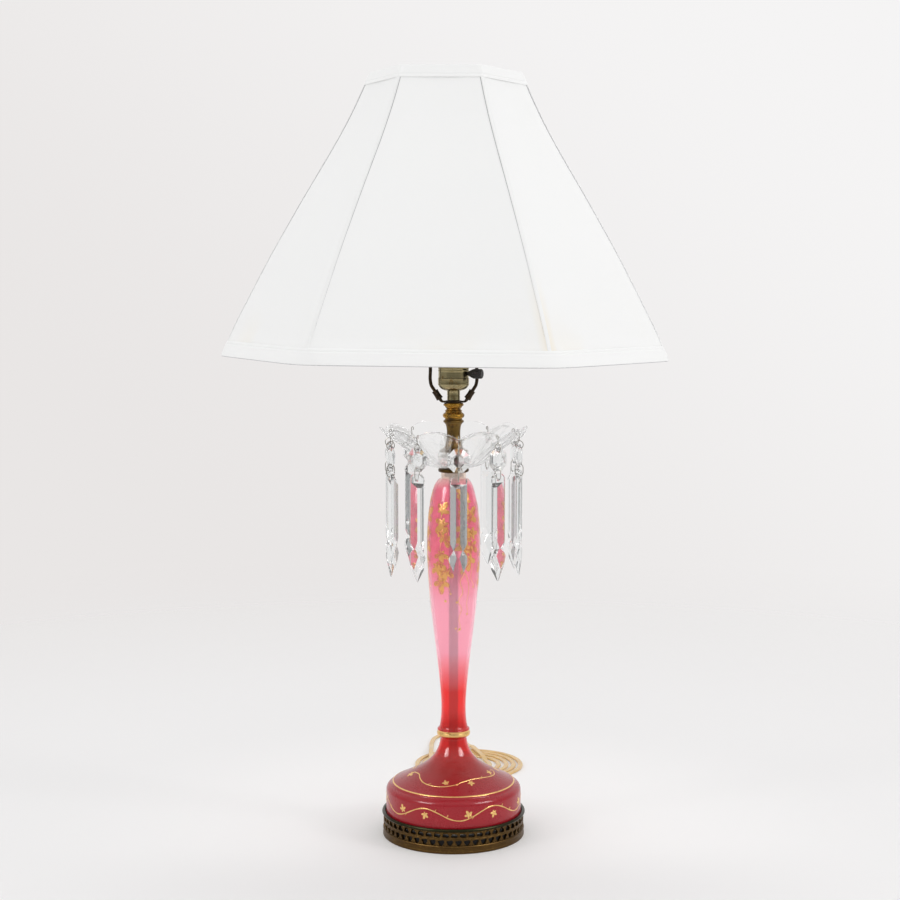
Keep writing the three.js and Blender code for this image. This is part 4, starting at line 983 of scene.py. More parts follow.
class LAMP_OT_cord(bpy.types.Operator):
    """Makes the free cord with its plug, the outlet bushing and the cord inside the lamp."""

    bl_idname = "lamp.cord"
    bl_label = "Cord and plug"

    def execute(self, context):
        lead = through(lead_route(), 260)
        coil, way = coil_route()
        line = np.concatenate([lead[:-1], coil])
        line[:, 2] = np.maximum(line[:, 2], ON_TABLE)
        line = respaced(line, CORD_ROWS)
        for _ in range(CORD_SMOOTHINGS):
            line[1:-1] = (line[:-2] + line[1:-1] + line[2:]) / 3
        cord = make(
            "power_cord",
            sweep(line, twin_section(), (0.0, 0.0, 1.0)),
            gold_cord(),
            replaces=("cord_lead", "cord_coil"),
        )
        plug = self.plug(line[-1], way)
        self.bushing()
        self.inner_cord()
        return {"FINISHED"}

    def plug(self, end, way):
        """A flat plug: an oval section that widens in a smooth curve, with finger grooves."""
        share = np.linspace(0, 1, PLUG_ROWS)
        width = np.interp(share, [0, 0.1, 0.55, 0.92, 1], [0.34, 0.42, 1, 1, 0.9]) * PLUG_WIDTH / 2
        depth = np.interp(share, [0, 0.1, 0.5, 0.92, 1], [0.42, 0.5, 1, 1, 0.88])
        gripped = (share > PLUG_GRIP[0]) & (share < PLUG_GRIP[1])
        groove = GROOVE_DEPTH * np.maximum(np.cos(share * TAU * PLUG_GROOVES), 0) * gripped
        round_corner = disc(1.0, 32)
        x, y = (np.sign(round_corner) * np.abs(round_corner) ** 0.55).T
        middle = PLUG_THICKNESS / 2 + CORD_LIFT
        rise = np.interp(share, [0, 0.5, 1], [ON_TABLE + 0.2 * MM, middle, middle])
        depth = np.minimum(depth * PLUG_THICKNESS / 2, rise - CORD_LIFT)
        rows = np.stack(
            [
                x[None, :] * (width - groove)[:, None],
                np.broadcast_to(share[:, None] * PLUG_LENGTH, (PLUG_ROWS, len(x))),
                rise[:, None] + y[None, :] * depth[:, None],
            ],
            axis=-1,
        )
        shapes = [skin(capped(rows)), *(self.blade(side, middle) for side in (-1, 1))]
        angle = math.atan2(-way[0], way[1])
        placed = [moved(turned_by(s, angle), (end[0], end[1], 0.0)) for s in shapes]
        pins = aged("plug_brass", "nickel", 0.3, under="brass")
        return make("cord_plug", placed, [gold_cord(), pins], replaces="plug")

    def blade(self, side, middle):
        """One blade: an oblong section, narrower at its tip."""
        share = np.array([0, 0.15, 0.85, 1.0])
        narrow = np.array([1, 1, 1, 0.72])[:, None]
        along = PLUG_LENGTH - BLADE_ROOT + share * (BLADE_LENGTH + BLADE_ROOT)
        corners = np.array([(-1, -1), (1, -1), (1, 1), (-1, 1)]) / 2
        points = np.stack(
            [
                side * BLADE_SPACING / 2 + corners[None, :, 0] * BLADE_THICKNESS * narrow,
                np.broadcast_to(along[:, None], (4, 4)),
                middle + corners[None, :, 1] * BLADE_WIDTH * narrow,
            ],
            axis=-1,
        )
        return skin(capped(points)[1:], finish=1, flip=False)

    def bushing(self):
        """A rounded flange and a sleeve through the ring, turned about the outlet's own axis."""
        lowest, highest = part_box("cord_bushing")
        height = middle_height("cord_bushing")
        flange = highest.z - height
        face = highest.y
        wall = face - 1.6 * MM
        bore = 3.4 * MM
        barrel = 4.3 * MM
        profile = [
            (bore, lowest.y), (barrel, lowest.y), (barrel, wall), (flange, wall),
            (flange, face - 0.6 * MM), (flange - 0.5 * MM, face - 0.1 * MM),
            (flange - 1.1 * MM, face), (bore + 0.4 * MM, face), (bore, face - 0.5 * MM),
        ]
        shape = lathe(np.array(profile), 32)
        x, y, z = shape.points.T
        laid = Shape(
            np.stack([x, z, y + height], axis=1), shape.faces[:, ::-1], shape.uv[:, ::-1]
        )
        make("cord_outlet", laid, black(), replaces="cord_bushing")

    def inner_cord(self):
        """The same cord down the pipe and across the hollow foot to the outlet."""
        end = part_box("inner_cord")[1]
        height = middle_height("cord_bushing")
        foot = low("center_pipe")
        keys = [
            (0, end.z),
            (0, high("center_pipe") - 10 * MM),
            (0, foot + 40 * MM),
            (0, foot),
            (3.5 * MM, foot - 5.2 * MM),
            (14 * MM, 3 * MM),
            (36 * MM, 3.6 * MM),
            (56 * MM, height - 3.4 * MM),
            (end.y - 12 * MM, height),
            (end.y, height),
        ]
        line = through([(0, y, z) for y, z in keys], 160)
        line[:, 2] = np.maximum(line[:, 2], ON_TABLE)
        shape = sweep(line, twin_section()[:, ::-1], (1.0, 0.0, 0.0))
        make("hidden_cord", shape, gold_cord(), replaces="inner_cord")


# Gallery ring and the hardware under the vase

RING_FRIEZE = 73.6 * MM
RING_BAND_TOP = 8.5 * MM
RING_LEDGE = 22.8 * MM
RING_COLUMNS = 208
FRIEZE_ROWS = ((1.5, 0.0, 0.3, 0.34, 0.5), (0.5, 0.5, 0.22, 0.35, -0.6))
OUTLET_CELLS = 1.6
CLOSED_HOLE = 0.02
PIPE_RADIUS = 5 * MM
PIPE_BORE = 3.7 * MM
PIPE_THREAD = 24 * MM
PIPE_THREAD_ROWS = 97
PIPE_THREAD_DEPTH = 0.25 * MM


class LAMP_OT_gallery(bpy.types.Operator):
    """Makes the pierced gallery ring, and dresses the plate, washer, nut and pipe."""

    bl_idname = "lamp.gallery"
    bl_label = "Gallery ring"

    def execute(self, context):
        foot = [
            (70.8, 0), (74.1, 0), (74.6, 0.5), (74.6, 2.2), (74.25, 2.6), (74.25, 6.2),
            (74.6, 6.6), (74.6, 7.6), (74.2, 8.2), (73.4, 8.5), (70.8, 8.5),
        ]
        top = high("gallery_ring") / MM
        lip = [
            (66, 20), (71.2, 20), (71.2, 22.4), (73.6, 22.6), (74.6, 22.9), (75.2, 23.5),
            (75.5, 24.3), (75.5, top - 1.6), (75.2, top - 0.7), (74.5, top - 0.1),
            (73.4, top), (72.4, top - 0.3), (71.8, top - 1), (71.8, 22), (66, 22),
        ]
        bands = [turned(outline, columns=RING_COLUMNS) for outline in (foot, lip)]
        make(
            "pierced_gallery",
            [*bands, *self.frieze()],
            finish("gallery_bronze", gallery_metal, colours()),
            replaces="gallery_ring",
            crease=32,
        )
        dress(("seat_plate", "lock_washer", "pipe_nut"), aged("dull_steel", "steel", 0.4, 0.25))
        self.pipe()
        return {"FINISHED"}

    def pipe(self):
        """A tube with the grooves of a thread round its foot."""
        foot, top = low("center_pipe"), high("center_pipe")
        rows = np.arange(PIPE_THREAD_ROWS)
        heights = foot + PIPE_THREAD * rows / (PIPE_THREAD_ROWS - 1)
        radii = PIPE_RADIUS - PIPE_THREAD_DEPTH * (rows % 4 < 2)
        outline = np.concatenate(
            [
                [(PIPE_BORE, foot)],
                np.stack([radii, heights], axis=1),
                [(PIPE_RADIUS, top), (PIPE_BORE, top)],
            ]
        )
        # The pipe's steel is taken at a quarter of its level, far darker than the plate and nut.
        old = aged("old_pipe", "steel", 0.5, 0.6, level=0.25)
        make("threaded_pipe", lathe(outline, 32), old, replaces="center_pipe")

    def frieze(self):
        """Two rows of leaf-shaped holes. Each cell's sheet runs from its hole to its square
        border and is bent round the ring, with a rolled edge at the hole. The cells over the
        cord's outlet are closed. A row has a level and a shift in cells, then its holes' form."""
        repeats = sizes().frieze_repeats
        wide = TAU / repeats
        tall = (RING_LEDGE - RING_BAND_TOP) / 2
        shapes = []
        for level, shift, *form in FRIEZE_ROWS:
            for k in range(repeats):
                azimuth = wide * (k + shift)
                over_outlet = abs(azimuth % TAU - math.pi) <= OUTLET_CELLS * wide
                size = tall * (CLOSED_HOLE if over_outlet else 1.0)
                height = RING_BAND_TOP + tall * level
                shapes.append(self.cell(azimuth, height, wide, tall, size, *form))
        return shapes

    def cell(self, azimuth, height, wide, tall, size, reach, lift, tilt):
        """One cell: the hole's radius varies with the cosine of one and three times the angle,
        and the border is the square in the same directions."""
        side = np.linspace(-0.5, 0.5, 7)[:-1]
        x = np.concatenate([side, np.full(6, 0.5), -side, np.full(6, -0.5)])
        z = np.concatenate([np.full(6, -0.5), side, np.full(6, 0.5), -side])
        border_x = x * wide * RING_FRIEZE
        border_z = z * tall
        angle = np.arctan2(border_z, border_x)
        radius = size * (lift + 0.1 * np.cos(angle - tilt) + 0.07 * np.cos(3 * (angle + tilt)))
        hole_x = radius * (1 + reach) * np.cos(angle)
        hole_z = radius * np.sin(angle)
        share = np.array([1.0, 0.45, 0.12, 0.0, 0.0, 1.0])[:, None]
        depth = np.array([0.0, 0.35, 0.35, -0.3, -2.6, -2.6])[:, None] * MM
        across = hole_x + share * (border_x - hole_x)
        up = hole_z + share * (border_z - hole_z)
        points = around_axis(RING_FRIEZE + depth, azimuth + across / RING_FRIEZE, height + up)
        return skin(points, flip=False)


# Glass vase and its gilding

VASE_WALL = 3 * MM
VASE_BORE = 9.4 * MM
VASE_COLUMNS = 160
FOOT_KEYS = (
    (70.4, 0), (71, 1.4), (71, 12), (71, 24), (70.9, 26.4), (70.1, 28.8), (68.6, 30.6),
    (66.9, 31.6), (65.9, 32.2), (65.2, 33.2), (63.8, 34.5), (60.5, 36.0), (56.0, 38.2),
    (50.5, 40.9), (43.0, 44.9), (36, 48.9), (29.5, 53.2), (24.5, 57.6), (20.4, 62.4),
    (17.6, 67.2), (15.0, 73.6), (13.7, 80.5),
)
COLLAR_KEYS = (
    (13.9, 81.4), (15.6, 82.5), (16.8, 83.6), (17.15, 85.2), (17.15, 86.4), (16.5, 87.6),
    (16.5, 88.6), (17.0, 89.6), (16.6, 90.9), (15.2, 91.9), (14.6, 93.4),
)
WAIST_HEIGHT = 114.9
WAIST_RADIUS = 12.8
BELLY_RADIUS = 27.6
BELLY_RISE = 173.0
SHOULDER_RISE = 67.7
NECK_RADIUS = 13.0
STEM_KEYS = (COLLAR_KEYS[-1], (13.6, 99), (12.95, 107), (WAIST_RADIUS, WAIST_HEIGHT))


def vase_profiles():
    """The outer wall from the foot to the neck: a foot drawn in by a smooth curve, a collar, a
    swelling stem whose radius follows a power of a sine, and a shoulder that is a quarter oval."""
    foot = through(FOOT_KEYS, 150)
    collar = through(COLLAR_KEYS, 40)
    stem = through(STEM_KEYS, 20)[1:-1]
    share = np.linspace(0, 1, 70)
    swelling = (BELLY_RADIUS - WAIST_RADIUS) * np.sin(math.pi / 2 * share) ** 1.5
    belly = np.stack([WAIST_RADIUS + swelling, WAIST_HEIGHT + BELLY_RISE * share], axis=1)
    rise = np.sin(math.pi / 2 * np.linspace(0, 1, 40)[1:])
    closing = (BELLY_RADIUS - NECK_RADIUS) * np.sqrt(np.maximum(1 - rise**2, 0))
    base = WAIST_HEIGHT + BELLY_RISE
    shoulder = np.stack([NECK_RADIUS + closing, base + SHOULDER_RISE * rise], axis=1)
    top = base + SHOULDER_RISE
    neck = np.array([(NECK_RADIUS, top + 2), (NECK_RADIUS + 0.1, top + 6)])
    bowl = np.concatenate([stem, belly, shoulder, neck])
    seat = np.array([0, low("glass_vase")])
    return [line * MM + seat for line in (foot, collar, bowl)]


def inner_wall(outer, wall):
    """The outline moved in by the wall, square to itself."""
    slope = unit(np.gradient(outer, axis=0))
    return outer + wall * np.stack([-slope[:, 1], slope[:, 0]], axis=1)


class LAMP_OT_vase(bpy.types.Operator):
    """Makes the blown glass vase, from its satin foot to its neck."""

    bl_idname = "lamp.vase"
    bl_label = "Glass vase"

    def execute(self, context):
        """The wall is one closed outline, out from the foot to the neck and back inside. Its
        faces below the middle of the collar are satin."""
        foot, collar, bowl = vase_profiles()
        outer = np.concatenate([foot, collar, bowl])
        inside = inner_wall(np.concatenate([foot[10::4], bowl[::3]]), VASE_WALL)
        inside[:, 0] = np.maximum(inside[:, 0], VASE_BORE)
        rims = [outer[k : k + 1 or None] - np.array([[VASE_WALL, 0]]) for k in (0, -1)]
        inner = np.concatenate([rims[0], inside[1:-1], rims[1]])[::-1]
        shape = lathe(np.concatenate([outer, inner]), VASE_COLUMNS)
        row = np.repeat(np.arange(len(outer) + len(inner)), VASE_COLUMNS)
        start = len(foot) + len(collar) // 2
        end = len(outer) + int(np.argmax(inner[:, 1] < foot[-1, 1]))
        stained = (row >= start) & (row < end)
        parts = [
            Shape(shape.points, shape.faces[stained == k], shape.uv[stained == k], k) for k in (0, 1)
        ]
        looks = [
            finish("satin_red_glass", satin_glass, colours()),
            finish("pink_glass", stained_glass, colours()),
        ]
        make("blown_vase", parts, looks, replaces="glass_vase", crease=60)
        return {"FINISHED"}


VINE_WAVES = 6
VINE_HEIGHT = 39.2 * MM
VINE_SWING = 6.0 * MM
VINE_TURN = math.radians(5.2)
VINE_ROWS = 720
LEAF_PAST_DIP = math.radians(7.5)
LEAF_PAST_CREST = math.radians(0.5)
THORN_TURN = 0.022
THORN_LENGTH = 2.6 * MM
SPRAY_THORN_TURN = 0.05
SPRAY_THORN_LENGTH = 2.4 * MM
GOLD_LINE_RADIUS = 63.8 * MM
GOLD_LINE_WIDTH = 1.5 * MM
SPRAY_RADII = (51.0 * MM, 41.0 * MM)
SPRAY_CENTRES = (4, 184)
SPRAY_ROWS = 180
SPRAY_KEYS = (
    (-86, 0.3), (-78, 0.02), (-66, -0.04), (-56, 0.34), (-40, 0.86), (-22, 1.0), (-4, 0.72),
    (8, 0.3), (24, 0.06), (42, 0.14), (56, 0.3), (68, 0.36), (78, 0.12), (79, -0.14), (72, -0.2),
)
SPRAY_LEAVES = (
    (-83, 0.5, 1.6, 1.25), (-14, 0.46, -0.4, 1.0), (19, 0.5, 3.3, 1.0), (66, -0.1, -1.2, 1.0),
)
SPRAY_THORNS = ((-36, 0.9, 1), (2, 0.55, -1), (40, 0.12, 1))
COLLAR_BAND_HEIGHT = 86.6 * MM
COLLAR_BAND_WIDTH = 6.0 * MM
COLLAR_BAND_RELIEF = 0.4 * MM
BELLY_LEAVES = (
    (21, 364, 7.5, 0.4), (34, 355, 9.5, -0.9), (20, 345, 8.0, 2.6), (39, 339, 10.5, 0.8),
    (23, 329, 9.5, 3.4), (30, 317, 11.0, -0.4), (42, 309, 8.0, 2.2), (24, 304, 8.5, 0.2),
    (34, 296, 9.5, 3.1), (18, 316, 6.0, -1.6), (44, 322, 6.5, 1.5), (-29, 346, 8.0, 0.6),
    (-23, 333, 9.5, -2.4), (-17, 319, 8.0, 2.9), (-33, 322, 6.0, 1.2), (-28, 301, 8.5, 3.14),
    (-40, 288, 9.5, 2.7), (-16, 284, 9.0, 3.5), (-30, 272, 9.5, 3.14),
)
BELLY_LEAF_SCALE = 1.4 * MM
TENDRILS = (
    ((16, 292), (24, 282), (15, 272), (22, 262), (12, 252), (20, 243), (14, 233), (19, 224), (10, 219)),
    ((24, 282), (32, 276), (38, 264), (34, 250), (38, 240)),
    ((28, 352), (22, 340), (30, 326), (24, 312), (31, 300), (16, 290)),
    ((-24, 350), (-30, 336), (-22, 322), (-30, 308), (-26, 292), (-34, 278)),
    ((-14, 300), (-8, 288), (-16, 276), (-8, 262)),
    ((40, 300), (48, 290), (42, 278), (52, 268)),
)
TENDRIL_WIDTH = 0.7 * MM
DOTS = (
    (-20, 252, 1.3), (8, 251, 1.2), (17, 222, 1.3), (6, 223, 0.9), (37, 238, 1.1), (-7, 260, 1.0),
    (52, 266, 1.1),
)
BOWL_START = 18


class LAMP_OT_gilding(bpy.types.Operator):
    """Lays the gold lines, the two vines and the leaves of the vase."""

    bl_idname = "lamp.gilding"
    bl_label = "Gilding"

    def execute(self, context):
        foot, collar, bowl = vase_profiles()
        gold = finish("gilding", gilding, colours().gilt, colours().copper)
        warm = finish("copper_gilding", gilding, colours().leaf, colours().copper, warmth=1.0)
        self.foot_gilding(Wall(foot), gold)
        band_wall = Wall(collar)
        along = band_wall.along_at(low("glass_vase") + COLLAR_BAND_HEIGHT)
        band = band_wall.band(along, COLLAR_BAND_WIDTH, COLLAR_BAND_RELIEF, VASE_COLUMNS)
        make("collar_gilding", band, gold, crease=60)
        self.bowl_gilding(Wall(bowl[BOWL_START:]), gold, warm)
        return {"FINISHED"}

    def foot_gilding(self, wall, gold):
        """A gold line, a vine of even waves round the band that wanders a little, with leaves
        over its dips and under its crests, and two sprays on the slope."""
        relief = sizes().gilt_relief
        width = sizes().vine_width
        leaf = sizes().leaf_size
        shapes = [
            wall.band(wall.along_at_radius(GOLD_LINE_RADIUS), GOLD_LINE_WIDTH, relief, VINE_ROWS)
        ]
        azimuth = circle(VINE_ROWS)
        middle = wall.along_at(VINE_HEIGHT)
        phase = VINE_WAVES * (azimuth - VINE_TURN)
        wander = 0.5 * MM * np.sin(2 * azimuth + 1) + 0.4 * MM * np.sin(3 * azimuth)
        vine = middle - VINE_SWING * np.cos(phase) + wander
        pulse = width * (1 + 0.16 * np.sin(5 * phase))
        shapes.append(wall.line(azimuth, vine, pulse, relief, loop=True))
        over = middle - VINE_SWING + leaf * 1.15
        under = middle + VINE_SWING - leaf * 1.2
        for k in range(VINE_WAVES):
            dip = VINE_TURN + TAU * k / VINE_WAVES
            crest = dip + math.pi / VINE_WAVES
            leaves = (
                (dip + LEAF_PAST_DIP, over, leaf, -0.5 + 0.2 * (k % 2)),
                (crest + LEAF_PAST_CREST, under, leaf * 0.95, math.pi + 0.35),
            )
            shapes += [wall.leaf(*each, relief * 1.6) for each in leaves]
            for side, start in ((1, dip - 0.19), (-1, dip + 0.2), (1, crest + 0.16)):
                along = np.interp(start % TAU, azimuth, vine)
                turn, length = THORN_TURN * side, THORN_LENGTH * side
                widths = (width * 0.8, width * 0.35)
                shapes.append(wall.thorn(start, along, turn, length, widths, relief))
        for centre in SPRAY_CENTRES:
            shapes += self.spray(wall, math.radians(centre), width, leaf * 0.86, relief)
        make("foot_gilding", shapes, gold, crease=50)

    def spray(self, wall, centre, width, leaf, relief):
        """A spray of vine on the foot's slope: a wave between two radii, curled at both ends."""
        outer, inner = (wall.along_at_radius(radius, 40) for radius in SPRAY_RADII)
        reach = outer - inner
        line = through([(math.radians(a), share) for a, share in SPRAY_KEYS], SPRAY_ROWS)
        row = np.arange(SPRAY_ROWS)
        taper = np.clip(np.minimum(row, SPRAY_ROWS - 1 - row) / 14, 0.3, 1)
        along = inner + reach * line[:, 1]
        shapes = [wall.line(centre + line[:, 0], along, width * 0.95 * taper, relief)]
        for degrees, share, turn, scale in SPRAY_LEAVES:
            azimuth = centre + math.radians(degrees)
            shapes.append(wall.leaf(azimuth, inner + reach * share, leaf * scale, turn, relief * 1.6))
        for degrees, share, side in SPRAY_THORNS:
            azimuth = centre + math.radians(degrees)
            turn, length = SPRAY_THORN_TURN * side, SPRAY_THORN_LENGTH * side
            widths = (width * 0.75, width * 0.35)
            start = inner + reach * share
            shapes.append(wall.thorn(azimuth, start, turn, length, widths, relief))
        return shapes

    def bowl_gilding(self, wall, gold, warm):
        """Three like groups of leaves round the belly, with thin tendrils and dots."""
        relief = sizes().gilt_relief
        leaves = []
        fine = []
        for turn in np.radians((0, 120, 240)):
            for degrees, height, size, lean in BELLY_LEAVES:
                azimuth = math.radians(degrees) + turn
                along = wall.along_at(height * MM)
                size = size * BELLY_LEAF_SCALE
                leaves.append(wall.leaf(azimuth, along, size, lean, relief * 1.4, point=1.25, tail=0.32))
            fine += self.tendrils(wall, turn, relief)
        make("bowl_leaves", leaves, warm, crease=50)
        make("bowl_tendrils", fine, gold, crease=50)

    def tendrils(self, wall, turn, relief):
        """Thin wandering lines below and beside the leaves, with dots."""
        shapes = []
        for keys in TENDRILS:
            line = through([(math.radians(a), h * MM) for a, h in keys], 24 * len(keys))
            width = TENDRIL_WIDTH * (1 - 0.45 * np.linspace(0, 1, len(line)))
            along = wall.along_at(line[:, 1])
            shapes.append(wall.line(turn + line[:, 0], along, width, relief * 0.8))
        for degrees, height, size in DOTS:
            azimuth = turn + math.radians(degrees)
            along = wall.along_at(height * MM)
            dot = wall.leaf(azimuth, along, size * MM, 0.0, relief, lobes=2, notch=1.0, tail=0.0)
            shapes.append(dot)
        return shapes


# Turned brass: cap, column and its top

BORE = 5.3
CAP_OUTLINE = (
    (BORE, -4), (9.4, -4), (9.4, 0), (14.6, 0), (15.4, 0.3), (15.9, 1.1), (16, 2.0), (15.9, 2.9),
    (15.4, 3.5), (14.4, 3.8), (13.4, 3.9), (13.0, 4.3), (12.4, 4.8), (BORE, 4.8),
)
COLUMN_FOOT_OUTLINE = (
    (BORE, 0), (14.4, 0), (15.0, 0.5), (15.0, 1.3), (14.2, 1.9), (12.6, 2.6), (10.6, 3.9),
    (9.2, 5.6), (8.3, 8.0), (7.6, 11.0), (7.1, 14.5), (6.9, 17), (7.05, 22), (7.5, 26),
    (8.3, 28.6), (9.2, 29.6), (9.4, 30.2), (10.3, 30.5), (10.7, 31.2), (10.7, 32.0),
    (10.2, 32.8), (9.3, 33.3), (9.0, 34.2), (BORE, 34.2),
)
COLUMN_HEAD_OUTLINE = (
    (BORE, 0), (9.0, 0), (9.1, 0.7), (10.4, 1.1), (11.1, 2.2), (11.35, 3.5), (11.0, 4.6),
    (9.9, 5.6), (8.6, 6.6), (8.3, 7.3), (8.9, 7.7), (8.9, 8.5), (8.1, 8.9), (7.4, 9.6),
    (7.3, 10.4), (8.1, 11.2), (8.8, 12.2), (9.1, 12.9), (10.2, 13.3), (10.5, 14.1),
    (10.5, 14.8), (10.0, 15.6), (9.3, 16.2), (BORE, 16.2),
)


class LAMP_OT_column(bpy.types.Operator):
    """Makes the turned brass cap and the column's two parts. The outlines' corners stay crisp
    where they are sharp, and their coves are smooth."""

    bl_idname = "lamp.column"
    bl_label = "Column and cap"

    def execute(self, context):
        dark = aged("dark_cap", "brass", 0.34, 0.5, level=0.4)
        foot_brass = brass()
        amber = aged("amber_brass", "amber", 0.26, 0.5)
        for name, node, outline, lift, look in (
            ("neck_cap", "vase_cap", CAP_OUTLINE, 4 * MM, dark),
            ("column_foot", "column_base", COLUMN_FOOT_OUTLINE, 0.0, foot_brass),
            ("column_head", "column_top", COLUMN_HEAD_OUTLINE, 0.0, amber),
        ):
            shape = turned(outline, low(node) + lift)
            make(name, shape, look, replaces=node, crease=38)
        return {"FINISHED"}


# Scalloped drip pan and its pins

PAN_BOSS = 16 * MM
PAN_BOSS_HEIGHT = 15.7 * MM
PAN_NOTCH = 73 * MM
PAN_LOBE_REACH = 3.6 * MM
PAN_NOTCH_HEIGHT = 34.5 * MM
PAN_LOBE_RISE = 8 * MM
PAN_GLASS = 3 * MM
PAN_THINNING = 0.45
PAN_FLUTE = 0.35 * MM
PAN_COLUMNS = 240
PAN_ROWS = 26
PIN_RADIUS = 69.6 * MM
WIRE = 0.4 * MM
WIRE_SIDES = 8
EYE = 4.2 * MM
EYE_CENTRE = 413.998 * MM
PIN_STEM = 7.2 * MM
PIN_CURL = 1.6 * MM
LINK_SLACK = 1 * MM


def pan_rise(share):
    """Height share of the pan's underside: a cosine ease mixed with a square."""
    eased = 0.5 - 0.5 * np.cos(math.pi * np.minimum(share, 1) ** 1.1)
    return 0.65 * eased + 0.35 * share**2


class LAMP_OT_drip_pan(bpy.types.Operator):
    """Makes the scalloped glass drip pan and its ten wire pins."""

    bl_idname = "lamp.drip_pan"
    bl_label = "Drip pan"

    def execute(self, context):
        """The pan's profile grows outwards and upwards between the pins with a power of the
        sine of the azimuth, and a low wave of flutes runs over its bowl."""
        seat = low("column_base") - GAP - PAN_BOSS_HEIGHT
        profile = self.profile()
        azimuth = PENDANT_TURN + circle(PAN_COLUMNS)[None, :]
        radius = profile[:, :1]
        out = np.maximum((radius - PAN_BOSS) / (PAN_NOTCH - PAN_BOSS), 0)
        lobe = np.abs(np.sin(PENDANTS / 2 * (azimuth - PENDANT_TURN))) ** 0.8 * out**2
        wave = np.cos(3 * PENDANTS * (azimuth - PENDANT_TURN)) * out * (1 - out) * 4
        height = seat + profile[:, 1:] + PAN_LOBE_RISE * lobe + PAN_FLUTE * wave
        points = around_axis(radius + PAN_LOBE_REACH * lobe, azimuth, height)
        glass = finish("pan_glass", clear_glass, (0.99, 0.992, 0.985), 0.6, 1.12, 0.45)
        pan = skin(points, loop=True)
        make("scalloped_pan", pan, glass, replaces="drip_pan", crease=50)
        pins = [
            turned_by(wire, PENDANT_TURN + turn, PIN_RADIUS)
            for wire in self.pin()
            for turn in circle(PENDANTS)
        ]
        make("pan_pins", pins, wire_metal())
        return {"FINISHED"}

    def profile(self):
        """The pan's outline at a notch: its underside, rim, upper side and boss."""
        share = np.linspace(0, 1, PAN_ROWS)
        radius = PAN_BOSS + (PAN_NOTCH - PAN_BOSS) * share
        glass = PAN_GLASS * (1 - PAN_THINNING * share)
        top = (PAN_NOTCH_HEIGHT - PAN_GLASS) * pan_rise(share) + PAN_GLASS
        lower = np.stack([radius, top - glass], axis=1)
        upper = np.stack([radius, top], axis=1)[::-1]
        rim = [
            (PAN_NOTCH + 0.4 * MM, PAN_NOTCH_HEIGHT - glass[-1] * 0.75),
            (PAN_NOTCH + 0.5 * MM, PAN_NOTCH_HEIGHT - glass[-1] * 0.4),
        ]
        boss = np.array([(16, 5), (16, 13.6), (15.6, 15.0), (14.6, 15.7), (BORE, 15.7)]) * MM
        return np.concatenate([[(BORE * MM, 0)], lower, rim, upper, boss])

    def pin(self):
        """A curl of wire over the glass, a stem through it and a round eye below."""
        stem_top = EYE_CENTRE + EYE + PIN_STEM
        stem = [(0, 0, EYE_CENTRE + EYE), (0, 0, stem_top - 2 * MM)]
        curl = np.linspace(0, 1.35 * math.pi, 18)
        hook = np.stack(
            [curl * 0, PIN_CURL * (1 - np.cos(curl)), stem_top + PIN_CURL * np.sin(curl)], axis=1
        )
        line = through(np.concatenate([stem, hook]), 50)
        ring = disc(EYE, 28)
        eye = np.stack([ring[:, 0] * 0, ring[:, 0], EYE_CENTRE + ring[:, 1]], axis=1)
        return [
            sweep(line, disc(WIRE, WIRE_SIDES), (1.0, 0.0, 0.0)),
            sweep(eye, disc(WIRE, WIRE_SIDES), (1.0, 0.0, 0.0), loop=True),
        ]


class LAMP_OT_pendants(bpy.types.Operator):
    """Dresses the beads and prisms in cut glass and replaces the links with round wire."""

    bl_idname = "lamp.pendants"
    bl_label = "Pendants"

    def execute(self, context):
        cut = finish("cut_glass", clear_glass, (0.97, 0.98, 0.975), 0.02, 1.55, 0.04)
        for k in range(PENDANTS):
            number = f"{k + 1:02d}"
            dress((f"bead_{number}", f"prism_{number}"), cut)
            self.link(number, PENDANT_TURN + TAU * k / PENDANTS)
        return {"FINISHED"}

    def link(self, number, azimuth):
        """A long wire ring: two half circles drawn apart, in the plane of the lamp's radius."""
        node = f"link_{number}"
        stretch = high(node) - low(node) - 2 * EYE - LINK_SLACK
        angle = TAU * (np.arange(36) + 0.5) / 36
        z = EYE * np.sin(angle) + np.sign(np.sin(angle)) * stretch / 2
        line = np.stack([angle * 0, EYE * np.cos(angle), middle_height(node) + z], axis=1)
        ring = sweep(line, disc(WIRE, WIRE_SIDES), (1.0, 0.0, 0.0), loop=True)
        make(
            f"wire_{node}",
            turned_by(ring, azimuth, PIN_RADIUS),
            wire_metal(),
            body=f"pendant_{number}",
            replaces=node,
        )


# Harp, saddle and sleeves

LEG_SLOPE = math.radians(57)
LEG_LIFT = 1.1 * MM
PRONG_FOOT = 12.25 * MM
PRONG_LENGTH = 7 * MM
HARP_WIRE = 1.75 * MM
HARP_STUD = 13 * MM
LEG_HALF_WIDTH = 23.8 * MM
HARP_HALF_WIDTH = 52 * MM
SLEEVE_LENGTH = 10 * MM
SLEEVE_RAISE = 3.4 * MM
SLEEVE_OUTLINE = (
    (0, 2.1), (0, 3.4), (0.05, 3.75), (0.12, 3.5), (0.5, 3.2), (0.88, 3.25), (0.95, 3.5), (1, 3.3),
    (1, 2.1),
)
SADDLE_OUTLINE = ((BORE, 0), (8.3, 0), (8.8, 0.4), (8.9, 1.1), (8.8, 1.8), (8.3, 2.2), (BORE, 2.2))


def on_leg(side, length):
    """A point on the sloping leg of one side, at a distance from the saddle's prong."""
    x = side * (PRONG_FOOT + math.cos(LEG_SLOPE) * length)
    return np.array([x, 0.0, low("harp_saddle") + LEG_LIFT + math.sin(LEG_SLOPE) * length])


